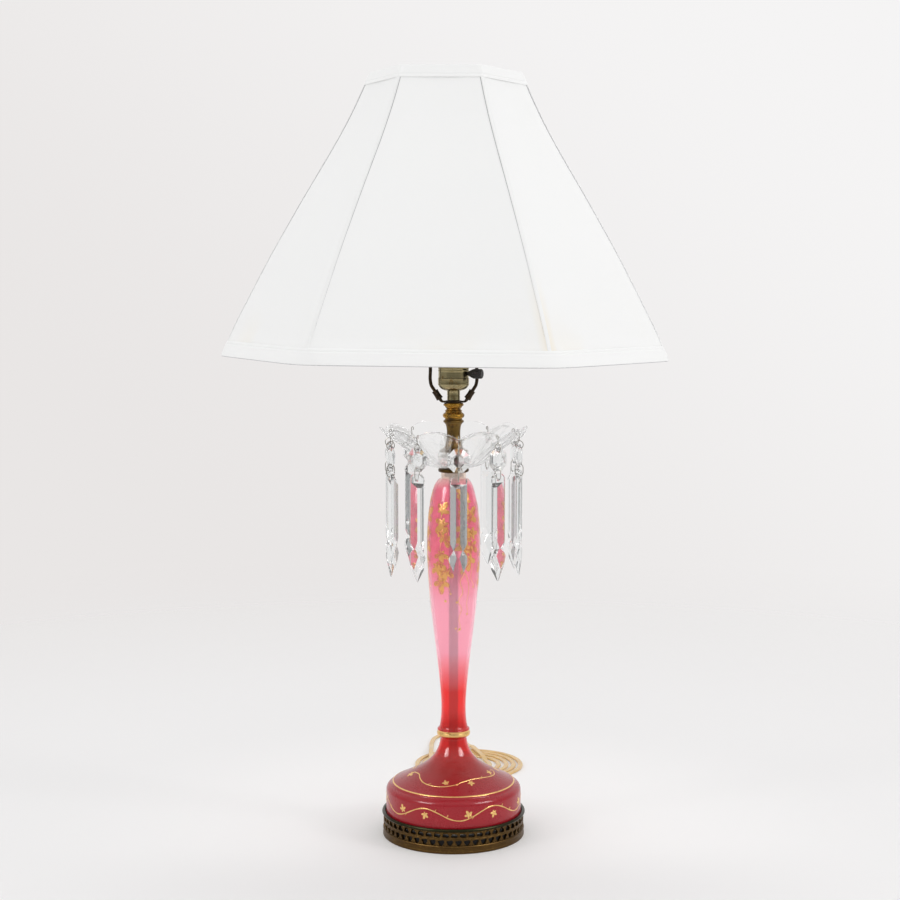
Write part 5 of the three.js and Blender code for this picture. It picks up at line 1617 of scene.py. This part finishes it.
class LAMP_OT_harp(bpy.types.Operator):
    """Makes the harp's saddle, its two tapered sleeves and the wire hoop with its stud."""

    bl_idname = "lamp.harp"
    bl_label = "Harp"

    def execute(self, context):
        dark = aged("dark_iron", "iron", 0.42, 0.4)
        plate = turned(SADDLE_OUTLINE, low("harp_saddle"), 48)
        wings = [self.wing(side) for side in (-1, 1)]
        make("saddle", [plate, *wings], dark, replaces="harp_saddle")
        for side, name in ((-1, "left"), (1, "right")):
            self.sleeve(side, name, dark)
        self.hoop(dark)
        return {"FINISHED"}

    def wing(self, side):
        """A wing of the dished plate that turns up: its section goes from an oval to a round."""
        seat = low("harp_saddle")
        keys = [
            (side * 7.0 * MM, 0.0, seat + 1.1 * MM),
            (side * 10 * MM, 0.0, seat + 1.0 * MM),
            (side * 12.2 * MM, 0.0, seat + 1.5 * MM),
            on_leg(side, 2.6 * MM),
            on_leg(side, PRONG_LENGTH),
        ]
        oval = disc(1.0, 16) * np.array([1.1 * MM, 2.9 * MM])
        blend = np.clip((np.linspace(0, 1, 30) - 0.35) / 0.35, 0, 1)[:, None, None]
        section = (oval * (1 - blend) + disc(HARP_WIRE, 16) * blend) * np.array([-1, 1])
        return sweep(through(keys, 30), section, (0.0, 1.0, 0.0))

    def sleeve(self, side, name, dark):
        """A tube along the leg that widens a little downwards, with rolled ends."""
        node = f"harp_sleeve_{name}"
        start = on_leg(side, SLEEVE_RAISE)
        way = unit(on_leg(side, SLEEVE_RAISE + SLEEVE_LENGTH) - start)
        share, radius = np.array(SLEEVE_OUTLINE, float).T
        across = np.array([0.0, 1.0, 0.0])
        up = np.cross(way, across)
        angle = circle(28)[None, :, None]
        spoke = np.cos(angle) * across + np.sin(angle) * up
        middle = start + way * share[:, None] * SLEEVE_LENGTH
        ring = skin(middle[:, None] + radius[:, None, None] * MM * spoke, loop=True)
        make(f"{node}_rolled", ring, dark, body=f"sleeve_{name}", replaces=node)

    def hoop(self, dark):
        """The hoop's wire through its keys, and the plate and threaded stud on its crown."""
        top = high("harp") - HARP_STUD
        foot = low("harp_saddle") + LEG_LIFT
        bend = (LEG_HALF_WIDTH - PRONG_FOOT) / math.cos(LEG_SLOPE)
        rise = top - foot
        corner = foot + math.sin(LEG_SLOPE) * bend + 5 * MM

        def half(side):
            bow = (
                (LEG_HALF_WIDTH + 0.4 * MM, corner),
                (LEG_HALF_WIDTH + 0.8 * MM, foot + 0.13 * rise),
                ((LEG_HALF_WIDTH + HARP_HALF_WIDTH) * 0.52, foot + 0.24 * rise),
                (HARP_HALF_WIDTH, foot + 0.46 * rise),
                (HARP_HALF_WIDTH * 0.9, foot + 0.7 * rise),
                (HARP_HALF_WIDTH * 0.55, foot + 0.9 * rise),
            )
            legs = [on_leg(side, s) for s in (7.3 * MM, bend - 3.5 * MM, bend - 1.5 * MM)]
            return [*legs, *((side * x, 0, z) for x, z in bow)]

        crown = (0, 0, top - 2 * MM - HARP_WIRE + 0.6 * MM)
        line = respaced(through([*half(-1), crown, *half(1)[::-1]], 400), 260)
        wire = sweep(line, disc(HARP_WIRE, 14), (0.0, 1.0, 0.0))
        turns = np.arange(40)
        thread = np.stack([3.0 - 0.3 * (turns % 4 < 2), 0.3 + 12.4 * turns / 39], axis=1)
        plate = [(0, -2), (5.6, -2), (6, -1.6), (6, -0.3), (5.7, 0), (3, 0)]
        stud = turned([*plate, *thread, (2.4, 13), (0, 13)], top, 40, loop=False)
        make("harp_hoop", [wire, stud], dark, replaces="harp")


# Socket, knob and bulb

CAP_SHELL_OUTLINE = (
    (BORE, 0), (6.3, 0), (6.7, 0.4), (6.7, 4.2), (6.4, 4.5), (6.4, 4.9), (6.7, 5.2), (6.7, 9.0),
    (7.2, 9.8), (9.0, 10.3), (11.4, 11.0), (13.4, 12.2), (14.9, 13.9), (15.8, 15.6), (16.2, 16.4),
    (16.2, 17.6), (15.9, 17.9), (15.9, 18.2), (16.2, 18.5), (16.2, 22.7), (16.0, 23.1),
    (15.4, 23.1), (15.4, 16.4), (14.4, 14.6), (12.0, 12.4), (9.0, 11.3), (BORE, 10.4),
)
CAP_SHELL_TOP = 23.1
SHELL_RADII = (14.35, 15.05, 15.7)
SHELL_BEADS = (30.5, 33.0, 44.0, 46.5)
KNOB_OUTLINE = (
    (0, 9.5), (1.7, 9.5), (1.9, 9.9), (1.9, 16.6), (2.3, 17.0), (3.9, 20.4), (4.4, 21.2), (4.5, 22),
    (4.9, 22.4), (5.1, 23.2), (5.1, 31.2), (4.7, 32.1), (3.6, 32.5), (1.5, 32.3), (0, 32.2),
)
KNOB_FLUTES = 14
KNOB_FLUTE_DEPTH = 0.45
KNOB_AZIMUTH = math.radians(65)
BULB_RADIUS = 30 * MM
SCREW_RADIUS = 11.9 * MM
SCREW_DEPTH = 0.8 * MM
SCREW_PITCH = 3.6 * MM


class LAMP_OT_socket(bpy.types.Operator):
    """Makes the socket's cap and shell, its liner and inside, the turn knob and the bulb."""

    bl_idname = "lamp.socket"
    bl_label = "Socket and bulb"

    def execute(self, context):
        nickel = aged("nickel_brass", "nickel", 0.2, 0.35, under="brass")
        for name, node, shape in (
            ("cap_shell", "socket_cap", turned(CAP_SHELL_OUTLINE, low("socket_cap"))),
            ("outer_shell", "socket_shell", self.shell()),
        ):
            make(name, shape, nickel, replaces=node, crease=32)
        dress("socket_liner", finish("liner_card", card, (0.24, 0.16, 0.09)))
        dress("socket_inside", finish("socket_plastic", moulded, (0.02, 0.018, 0.016), 0.5))
        self.knob()
        self.bulb()
        return {"FINISHED"}

    def shell(self):
        """A tube, narrower where the cap holds it, with bell-shaped beads and a flared rim."""
        seat = low("socket_cap")
        share = np.linspace(0, 1, 80)
        z = low("socket_shell") + (high("socket_shell") - low("socket_shell")) * share
        level = (z - seat) / MM
        bore, held, free = SHELL_RADII
        radius = np.where(level < CAP_SHELL_TOP + 0.4, held, free)
        for bead in SHELL_BEADS:
            radius = radius + 0.35 * np.exp(-((level - bead) ** 2) / 0.35)
        radius = radius + 0.6 * np.clip((share - 0.965) / 0.035, 0, 1)
        outer = np.stack([radius * MM, z], axis=1)
        return lathe(np.concatenate([outer, [(bore * MM, z[-1]), (bore * MM, z[0])]]), 72)

    def knob(self):
        """A stem, a cone and a fluted grip: the grip's radius varies with the cosine of the
        flutes times the angle, and its end is domed. It is laid at its azimuth."""
        outline = np.array(KNOB_OUTLINE, float)
        angle = circle(96)[None, :]
        gripped = (outline[:, 1:] > 22.3) & (outline[:, 1:] < 32.3) & (outline[:, :1] > 3)
        flute = KNOB_FLUTE_DEPTH * gripped * (0.5 - 0.5 * np.cos(KNOB_FLUTES * angle))
        r = outline[:, :1] - flute
        away = -np.broadcast_to(outline[:, 1:], r.shape)
        points = np.stack([r * np.cos(angle), away, r * np.sin(angle)], axis=-1) * MM
        shape = moved(turned_by(skin(points), KNOB_AZIMUTH), (0, 0, middle_height("switch_knob")))
        make(
            "fluted_knob", shape, black(), body="knob", replaces="switch_knob"
        )

    def bulb(self):
        """The base's radius varies with the sine of height and azimuth together, which is a
        screw thread, and the envelope is a smooth curve into a globe."""
        foot = low("bulb")
        centre = high("bulb") - foot - BULB_RADIUS
        globe = np.radians(np.linspace(-50, 90, 40))
        ball = np.stack([np.cos(globe), np.sin(globe)], axis=1) * BULB_RADIUS + np.array([0, centre])
        start = np.array([(12.2, 22.5), (12.9, 26), (14.6, 38)]) * MM
        neck = through([*start, ball[0], ball[3]], 40)[:-8]
        envelope = np.concatenate([[(11.2 * MM, 21.5 * MM)], neck, ball[3:]])
        envelope[-1, 0] = 0
        glass = lathe(envelope + np.array([0, foot]), 72, loop=False, finish=1)
        tip = np.array([(0, 0), (3.6, 0), (4.8, 0.6), (5.2, 1.8), (9.5, 4.0), (11.4, 5.0)]) * MM
        z = np.linspace(5, 22, 86)[1:] * MM
        angle = circle(72)
        wave = 0.5 - 0.5 * np.cos(TAU * z[:, None] / SCREW_PITCH - angle[None, :])
        fade = np.clip(np.minimum(z - 5 * MM, 20 * MM - z) / (1.5 * MM), 0, 1)[:, None]
        screw = SCREW_RADIUS - SCREW_DEPTH * wave * fade
        lower = np.broadcast_to(tip[:, :1], (len(tip), 72))
        radius = np.concatenate([lower, screw, np.zeros((1, 72))])
        height = np.concatenate([tip[:, 1], z, z[-1:]])
        base = skin(around_axis(radius, angle[None, :], foot + height[:, None]))
        looks = [
            aged("lamp_base_brass", "nickel", 0.3, 0.3, under="brass"),
            finish("frosted_envelope", frosted_bulb, (0.9, 0.89, 0.86)),
        ]
        make(
            "bulb_and_base", [base, glass], looks, body="bulb", replaces="bulb"
        )


# Shade: cover, seams, trims, wire frame and finial

SHADE_TOP = 77.6 * MM
SHADE_BOTTOM = 229 * MM
SHADE_KEYS = ((0, 0), (0.12, -3), (0.24, -2.64), (0.44, 2.12), (0.64, 5.3), (0.93, 5.3), (1, 0.85))
SHADE_OFFSET = -8 * MM
SHADE_TILT = math.radians(0.55)
CORNER_POWERS = ((0, 36), (0.06, 200), (0.9, 200), (0.95, 34), (1, 21))
FABRIC = 1.2 * MM
SEAM_WIDTH = 4.2 * MM
SEAM_ROWS = 60
# Strips of a seam: shift across it as a share of its width, half width, rise and finish; finish 1 is the
# grey of painted shade.
SEAM_STRIPS = (
    (0.0, SEAM_WIDTH / 2, 0.55 * MM, 0),
    (-0.52, 0.42 * MM, 0.5 * MM, 1),
    (0.52, 0.42 * MM, 0.5 * MM, 1),
)
TOP_TAPE = 12.8 * MM
BOTTOM_TAPE = 15.4 * MM
# Radius of the painted shadow line under the bottom tape.
EDGE_SHADE_RADIUS = 0.5 * MM
WELT_DEPTH = 0.45
WELT_WIDTH = 0.035
FRAME_WIRE = 1.5 * MM
FRAME_INSET = 5 * MM
SPIDER_RECESS = 26.9 * MM
WASHER_OUTLINE = (
    (3.3, 0.2), (3.6, 0), (8.6, 0), (9, 0.4), (9, 1.6), (8.6, 2), (3.6, 2), (3.3, 1.8),
)
FINIAL_OUTLINE = (
    (3.3, 0), (4.7, 0), (4.9, 0.4), (4.9, 3.1), (4.5, 3.5), (3.7, 4.3), (3.5, 5.2), (3.9, 6.2),
    (5.2, 7.4), (6.3, 8.9), (6.9, 10.8), (6.9, 12.4), (6.3, 14.6), (5.2, 16.6), (3.8, 18.3),
    (2.9, 19.5), (2.6, 20.2), (2.7, 20.8), (2.2, 21.6), (1.2, 21.95), (0, 22), (0, 13.4),
    (3.3, 12.4),
)


def shade_corner(share):
    """The corners' radius: a straight slant, plus how far it is drawn in or stands out."""
    keys = np.array(SHADE_KEYS)
    near = (-0.06, -0.03, 0.0, 0.03, 0.06)
    bulge = sum(np.interp(np.clip(share + d, 0, 1), keys[:, 0], keys[:, 1]) for d in near)
    return SHADE_TOP + (SHADE_BOTTOM - SHADE_TOP) * share + bulge / len(near) * MM


def six_sided(corner, azimuth, share):
    """The radius of a hexagon with soft corners: its flats' distance, divided by a high power
    mean of the cosines of the angles to the middles of the flats. The power falls towards both
    edges, where the corners are rounder."""
    middles = SHADE_TURN + TAU * (np.arange(SHADE_RIBS) + 0.5) / SHADE_RIBS
    power = np.asarray(np.interp(share, *np.array(CORNER_POWERS, float).T))
    cosine = np.maximum(np.cos(np.asarray(azimuth)[..., None] - middles), 1e-6)
    mean = (np.sum(cosine ** power[..., None], axis=-1) / 2) ** (1 / power)
    return corner * math.cos(math.pi / SHADE_RIBS) / mean


def settled(points, share=1.0):
    """Points of the shade as it hangs, a little off the harp's axis and tilted; a share of 0
    leaves a point in place, as at the washer."""
    x, y, z = points[..., 0], points[..., 1], points[..., 2]
    drop = high("shade_cover") - z
    across = x + SHADE_OFFSET * share - drop * SHADE_TILT * share
    return np.stack([across, y, z - x * SHADE_TILT * share], axis=-1)


class LAMP_OT_shade(bpy.types.Operator):
    """Makes the fabric cover with its seams and trims, the wire frame and the finial."""

    bl_idname = "lamp.shade"
    bl_label = "Shade"

    def execute(self, context):
        self.top = high("shade_cover")
        self.height = self.top - low("shade_cover")
        cloth = finish("shade_cloth", woven, colours().cloth, stain=colours().stain)
        tape = finish("shade_tape", woven, colours().cloth, thread=0.8 * MM)
        # The seam shade finish: the grey of painted shade lines beside the seam strips and under the
        # bottom tape.
        thread = finish("seam_thread", woven, colours().thread, thread=0.5 * MM)
        cover = make(
            "shade_cloth",
            self.panels(np.linspace(0, 1, 46), (0.0, -FABRIC), sizes().panel_pull),
            cloth,
            body="shade",
            replaces="shade_cover",
            crease=25,
        )
        seams = self.seams([tape, thread])
        trims = self.trims([tape, thread])
        self.frame()
        shape = turned(FINIAL_OUTLINE, low("finial"), 48)
        make(
            "turned_finial", shape, brass(), body="finial", replaces="finial"
        )
        return {"FINISHED"}

    def panels(self, share, lift, pull):
        """Closed bands over some drops, one for each flat: out at one lift and back at another.
        Their columns crowd towards the corners, and U is the distance across the flat."""
        spread = 0.5 - 0.5 * np.cos(math.pi * np.linspace(0, 1, 27))
        drawn = pull * np.sin(math.pi * spread) ** 2
        shapes = []
        for k in range(SHADE_RIBS):
            azimuth = SHADE_TURN + TAU * (k + spread[None, :]) / SHADE_RIBS
            faces = []
            for rows, offsets in ((share, lift[0]), (share[::-1], lift[1])):
                depth = drawn * np.sin(math.pi * np.clip(rows, 0, 1))[:, None] ** 0.5
                corner = (shade_corner(rows) + offsets)[:, None]
                radius = six_sided(corner, azimuth, rows[:, None]) - depth
                faces.append(around_axis(radius, azimuth, (self.top - self.height * rows)[:, None]))
            shape = skin(settled(np.concatenate(faces)), around=False, loop=True, flip=False)
            middle = SHADE_TURN + TAU * (k + 0.5) / SHADE_RIBS
            x, y = shape.points[shape.faces, 0], shape.points[shape.faces, 1]
            shape.uv[..., 0] = x * math.cos(middle) + y * math.sin(middle)
            shapes.append(shape)
        return shapes

    def seams(self, looks):
        """A narrow raised strip down each corner, with a fine welt along each of its edges, in the grey
        of painted shade. Their sections are flat ovals, and the welts stand back with the flats."""
        share = np.linspace(0.012, 0.985, SEAM_ROWS)
        shapes = []
        for turn in circle(SHADE_RIBS) + SHADE_TURN:
            side = np.array([math.cos(turn), math.sin(turn), 0.0])
            for offset, wide, rise, look in SEAM_STRIPS:
                back = abs(offset) * SEAM_WIDTH * math.tan(math.pi / SHADE_RIBS)
                line = around_axis(shade_corner(share) - back, turn, self.top - self.height * share)
                section = disc(1.0, 10) * np.array([-wide, rise])
                outward = around_axis(1.0, turn, 0.0)
                strip = sweep(line + side * offset * SEAM_WIDTH, section, outward, finish=look)
                strip.points = settled(strip.points)
                shapes.append(strip)
        return make("shade_seams", shapes, looks, body="shade", crease=60)

    def trims(self, looks):
        """Folded tape round both edges: a low crowned band with a welt inside its free edge, and
        under the bottom one a thin grey line, a painted shadow of its lower edge."""
        across = np.linspace(0, 1, 30)
        crown = 0.5 + 0.8 * np.sin(math.pi * across) ** 0.3
        azimuth = SHADE_TURN + circle(360)
        edge = around_axis(six_sided(shade_corner(1.0), azimuth, 1.0), azimuth, self.top - self.height)
        # Painted shadow: a thin grey line along the bottom tape's lower edge.
        edge_shade = sweep(settled(edge), disc(EDGE_SHADE_RADIUS, 8), (0.0, 0.0, 1.0), loop=True, finish=1)
        made = []
        for name, node, start, tall, welt, extra in (
            ("top_tape", "shade_trim_top", 0.0, TOP_TAPE, 0.75, []),
            ("bottom_tape", "shade_trim_bottom", self.height - BOTTOM_TAPE, BOTTOM_TAPE, 0.2, [edge_shade]),
        ):
            share = (start + tall * across) / self.height
            lift = (crown - WELT_DEPTH * np.exp(-(((across - welt) / WELT_WIDTH) ** 2))) * MM
            shapes = self.panels(share, (lift, 0.2 * MM), 0.0) + extra
            piece = make(
                name, shapes, looks, body="shade", replaces=node, crease=25
            )
            made.append(piece)
        return made

    def frame(self):
        """Two six-sided hoops, six ribs that follow the corners, three spider arms and a
        recessed washer."""
        section = disc(FRAME_WIRE, 10)
        centre = -(FABRIC + GAP + FRAME_WIRE) / math.cos(math.pi / SHADE_RIBS)
        shapes = []
        azimuth = SHADE_TURN + circle(240)
        for drop in (FRAME_INSET, self.height - FRAME_INSET):
            share = drop / self.height
            radius = six_sided(shade_corner(share) + centre, azimuth, share)
            hoop = around_axis(radius, azimuth, self.top - drop)
            shapes.append(sweep(settled(hoop), section, (0.0, 0.0, 1.0), loop=True))
        inset = FRAME_INSET / self.height
        share = np.linspace(inset, 1 - inset, 50)
        for turn in circle(SHADE_RIBS) + SHADE_TURN:
            line = around_axis(shade_corner(share) + centre, turn, self.top - self.height * share)
            shapes.append(sweep(settled(line), section, (math.cos(turn), math.sin(turn), 0.0)))
        recess = self.top - SPIDER_RECESS
        keys = [
            (5.8 * MM, recess + 2 * MM),
            (12 * MM, recess + 3.2 * MM),
            (38 * MM, recess + 12.4 * MM),
            (64 * MM, self.top - FRAME_INSET - 2.8 * MM),
            (shade_corner(inset) + centre, self.top - FRAME_INSET),
        ]
        arm = through(keys, 40)
        held = np.clip((arm[:, 0] - 10 * MM) / (50 * MM), 0, 1)
        for turn in circle(3) + SHADE_TURN:
            line = settled(around_axis(arm[:, 0], turn, arm[:, 1]), held)
            shapes.append(sweep(line, section, (math.cos(turn), math.sin(turn), 0.0)))
        shapes.append(turned(WASHER_OUTLINE, recess, 48))
        wire = aged("frame_steel", "steel", 0.35, 0.15)
        make("wire_frame", shapes, wire, body="shade", replaces="shade_frame")


# Floor, backdrop and lights

FLOOR_RADII = (0.0, 0.2, 0.5, 1.0, 1.6, 2.3, 3.0)
LIGHTS = (
    ("key_left", (-2.0, -1.1, 1.5), 0.55, 4.5, False),
    ("key_right", (2.1, -0.9, 1.45), 0.55, 7.5, False),
    ("top", (0.1, 0.3, 2.6), 1.6, 6.0, False),
    ("glint_left", (-1.5, -1.2, 1.2), 0.85, 20.0, True),
    ("glint_right", (1.5, -1.1, 1.15), 0.85, 20.0, True),
)
LIGHT_AIM = 0.4


def floor_look(name, colour):
    """A pale floor that fades into the backdrop far from the lamp. Round its foot a painted glow lifts
    the lamp's shadow, and inside the foot's ring the floor is painted near black, a painted shadow where
    the foot hides it."""
    paint = Paint(name)
    place = paint.place()
    x = paint.part(place, "X")
    y = paint.part(place, "Y")
    far = (x * x + y * y) ** 0.5
    grain = paint.noise(place, 500.0, 2.0)
    pale = paint.mix(grain, rgb(colour, 1.01), rgb(colour, 1.02))
    # Painted shadow: the floor is near black inside the foot's ring, where the foot hides it.
    under = paint.step(far, 0.0705, 0.0715)
    base = paint.mix(under, rgb((0.03, 0.03, 0.03)), pale)
    # Painted light: a faint emission over the floor, much stronger round the foot except in front of it,
    # thins the lamp's shadow; none under the foot.
    near = paint.step(far, 0.5, 0.12) * paint.step(y, -0.2, -0.02) * under
    lift = paint.mix(near, rgb((0.012, 0.011, 0.011)), rgb((0.11, 0.107, 0.105)))
    solid = paint.gloss(base, roughness=0.9, specular=0.1, emission=lift, emission_strength=1.0)
    return paint.done(paint.blend(paint.step(far, 0.42, 1.9), solid, paint.clear()))


class LAMP_OT_stage(bpy.types.Operator):
    """Makes the pale floor, the backdrop colour and the soft lights."""

    bl_idname = "lamp.stage"
    bl_label = "Stage"

    def execute(self, context):
        scene = context.scene
        scene.view_settings.view_transform = "Standard"
        rings = np.array(FLOOR_RADII)[:, None]
        shape = skin(around_axis(rings, circle(96)[None, :], 0.0), flip=True)
        look = finish("pale_floor", floor_look, colours().backdrop)
        make("floor", shape, look, body=None)
        self.backdrop(scene)
        for light in LIGHTS:
            self.lamp(*light)
        return {"FINISHED"}

    def lamp(self, name, place, size, power, glint):
        """A square soft light that faces the middle of the lamp. A glint only shows mirrored."""
        data = bpy.data.lights.new(name, "AREA")
        data.shape = "SQUARE"
        data.size = size
        data.energy = power
        light = bpy.data.objects.new(name, data)
        bpy.context.scene.collection.objects.link(light)
        light.location = place
        x, y, z = place[0], place[1], place[2] - LIGHT_AIM
        light.rotation_euler = (math.atan2(math.hypot(x, y), z), 0.0, math.atan2(y, x) + math.pi / 2)
        light.visible_camera = False
        light.visible_diffuse = not glint
        light.visible_transmission = not glint

    def backdrop(self, scene):
        """The backdrop's colour for the camera, mirrors and glass, darker behind the camera and
        at the sides for mirrors and glass, and an even light for everything else."""
        world = bpy.data.worlds.new("soft_world")
        world.use_nodes = True
        scene.world = world
        paint = Paint("world", world.node_tree)
        rays = paint.tree.nodes.new("ShaderNodeLightPath")
        camera, glossy, through_glass = (
            Socket(paint, rays.outputs[name])
            for name in ("Is Camera Ray", "Is Glossy Ray", "Is Transmission Ray")
        )
        way = paint.node("ShaderNodeTexCoord", output=0)
        across, away, up = (paint.part(way, axis) for axis in "XYZ")
        behind = paint.step(away * -1.0, 0.1, 0.75) * paint.step(up, 0.75, 0.2)
        sides = paint.step(across.size(), 0.72, 0.97) * paint.step(up.size(), 0.6, 0.2)
        dark = behind.most(sides * 0.75) * 0.8
        mirrored = paint.mix(dark, rgb(colours().backdrop), rgb((0.14, 0.155, 0.16)))
        seen = paint.mix(glossy.most(through_glass), rgb((0.84, 0.84, 0.84)), mirrored)
        slant = paint.step(across * 0.8 + up * 0.9, -0.25, 0.3)
        slope = paint.mix(slant, rgb(shown(233, 230, 229)), rgb(shown(245, 244, 244)))
        final = paint.mix(camera, seen, slope)
        light = paint.node("ShaderNodeBackground", inputs={"Color": final, "Strength": 1.0})
        output = paint.tree.nodes.new("ShaderNodeOutputWorld")
        paint.tree.links.new(light.link, output.inputs["Surface"])


OPERATORS = (
    LAMP_OT_camera,
    LAMP_OT_cord,
    LAMP_OT_gallery,
    LAMP_OT_vase,
    LAMP_OT_gilding,
    LAMP_OT_column,
    LAMP_OT_drip_pan,
    LAMP_OT_pendants,
    LAMP_OT_harp,
    LAMP_OT_socket,
    LAMP_OT_shade,
    LAMP_OT_stage,
)


class LAMP_PT_panel(bpy.types.Panel):
    """Lists the lamp's pieces, sizes and colours."""

    bl_idname = "LAMP_PT_panel"
    bl_label = "Art Glass Lamp"
    bl_space_type = "VIEW_3D"
    bl_region_type = "UI"
    bl_category = "Lamp"

    def draw(self, context):
        for operator in OPERATORS:
            self.layout.operator(operator.bl_idname)
        for group in (context.scene.lamp_sizes, context.scene.lamp_colours):
            box = self.layout.box()
            for key in group.__annotations__:
                box.prop(group, key)


CLASSES = (LampSizes, LampColours, *OPERATORS, LAMP_PT_panel)


def register():
    for each in CLASSES:
        bpy.utils.register_class(each)
    bpy.types.Scene.lamp_sizes = PointerProperty(type=LampSizes)
    bpy.types.Scene.lamp_colours = PointerProperty(type=LampColours)


def unregister():
    del bpy.types.Scene.lamp_colours
    del bpy.types.Scene.lamp_sizes
    for each in reversed(CLASSES):
        bpy.utils.unregister_class(each)


def main():
    """Registers the add-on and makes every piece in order."""
    register()
    for operator in OPERATORS:
        group, name = operator.bl_idname.split(".")
        getattr(getattr(bpy.ops, group), name)()


if __name__ == "__main__":
    main()
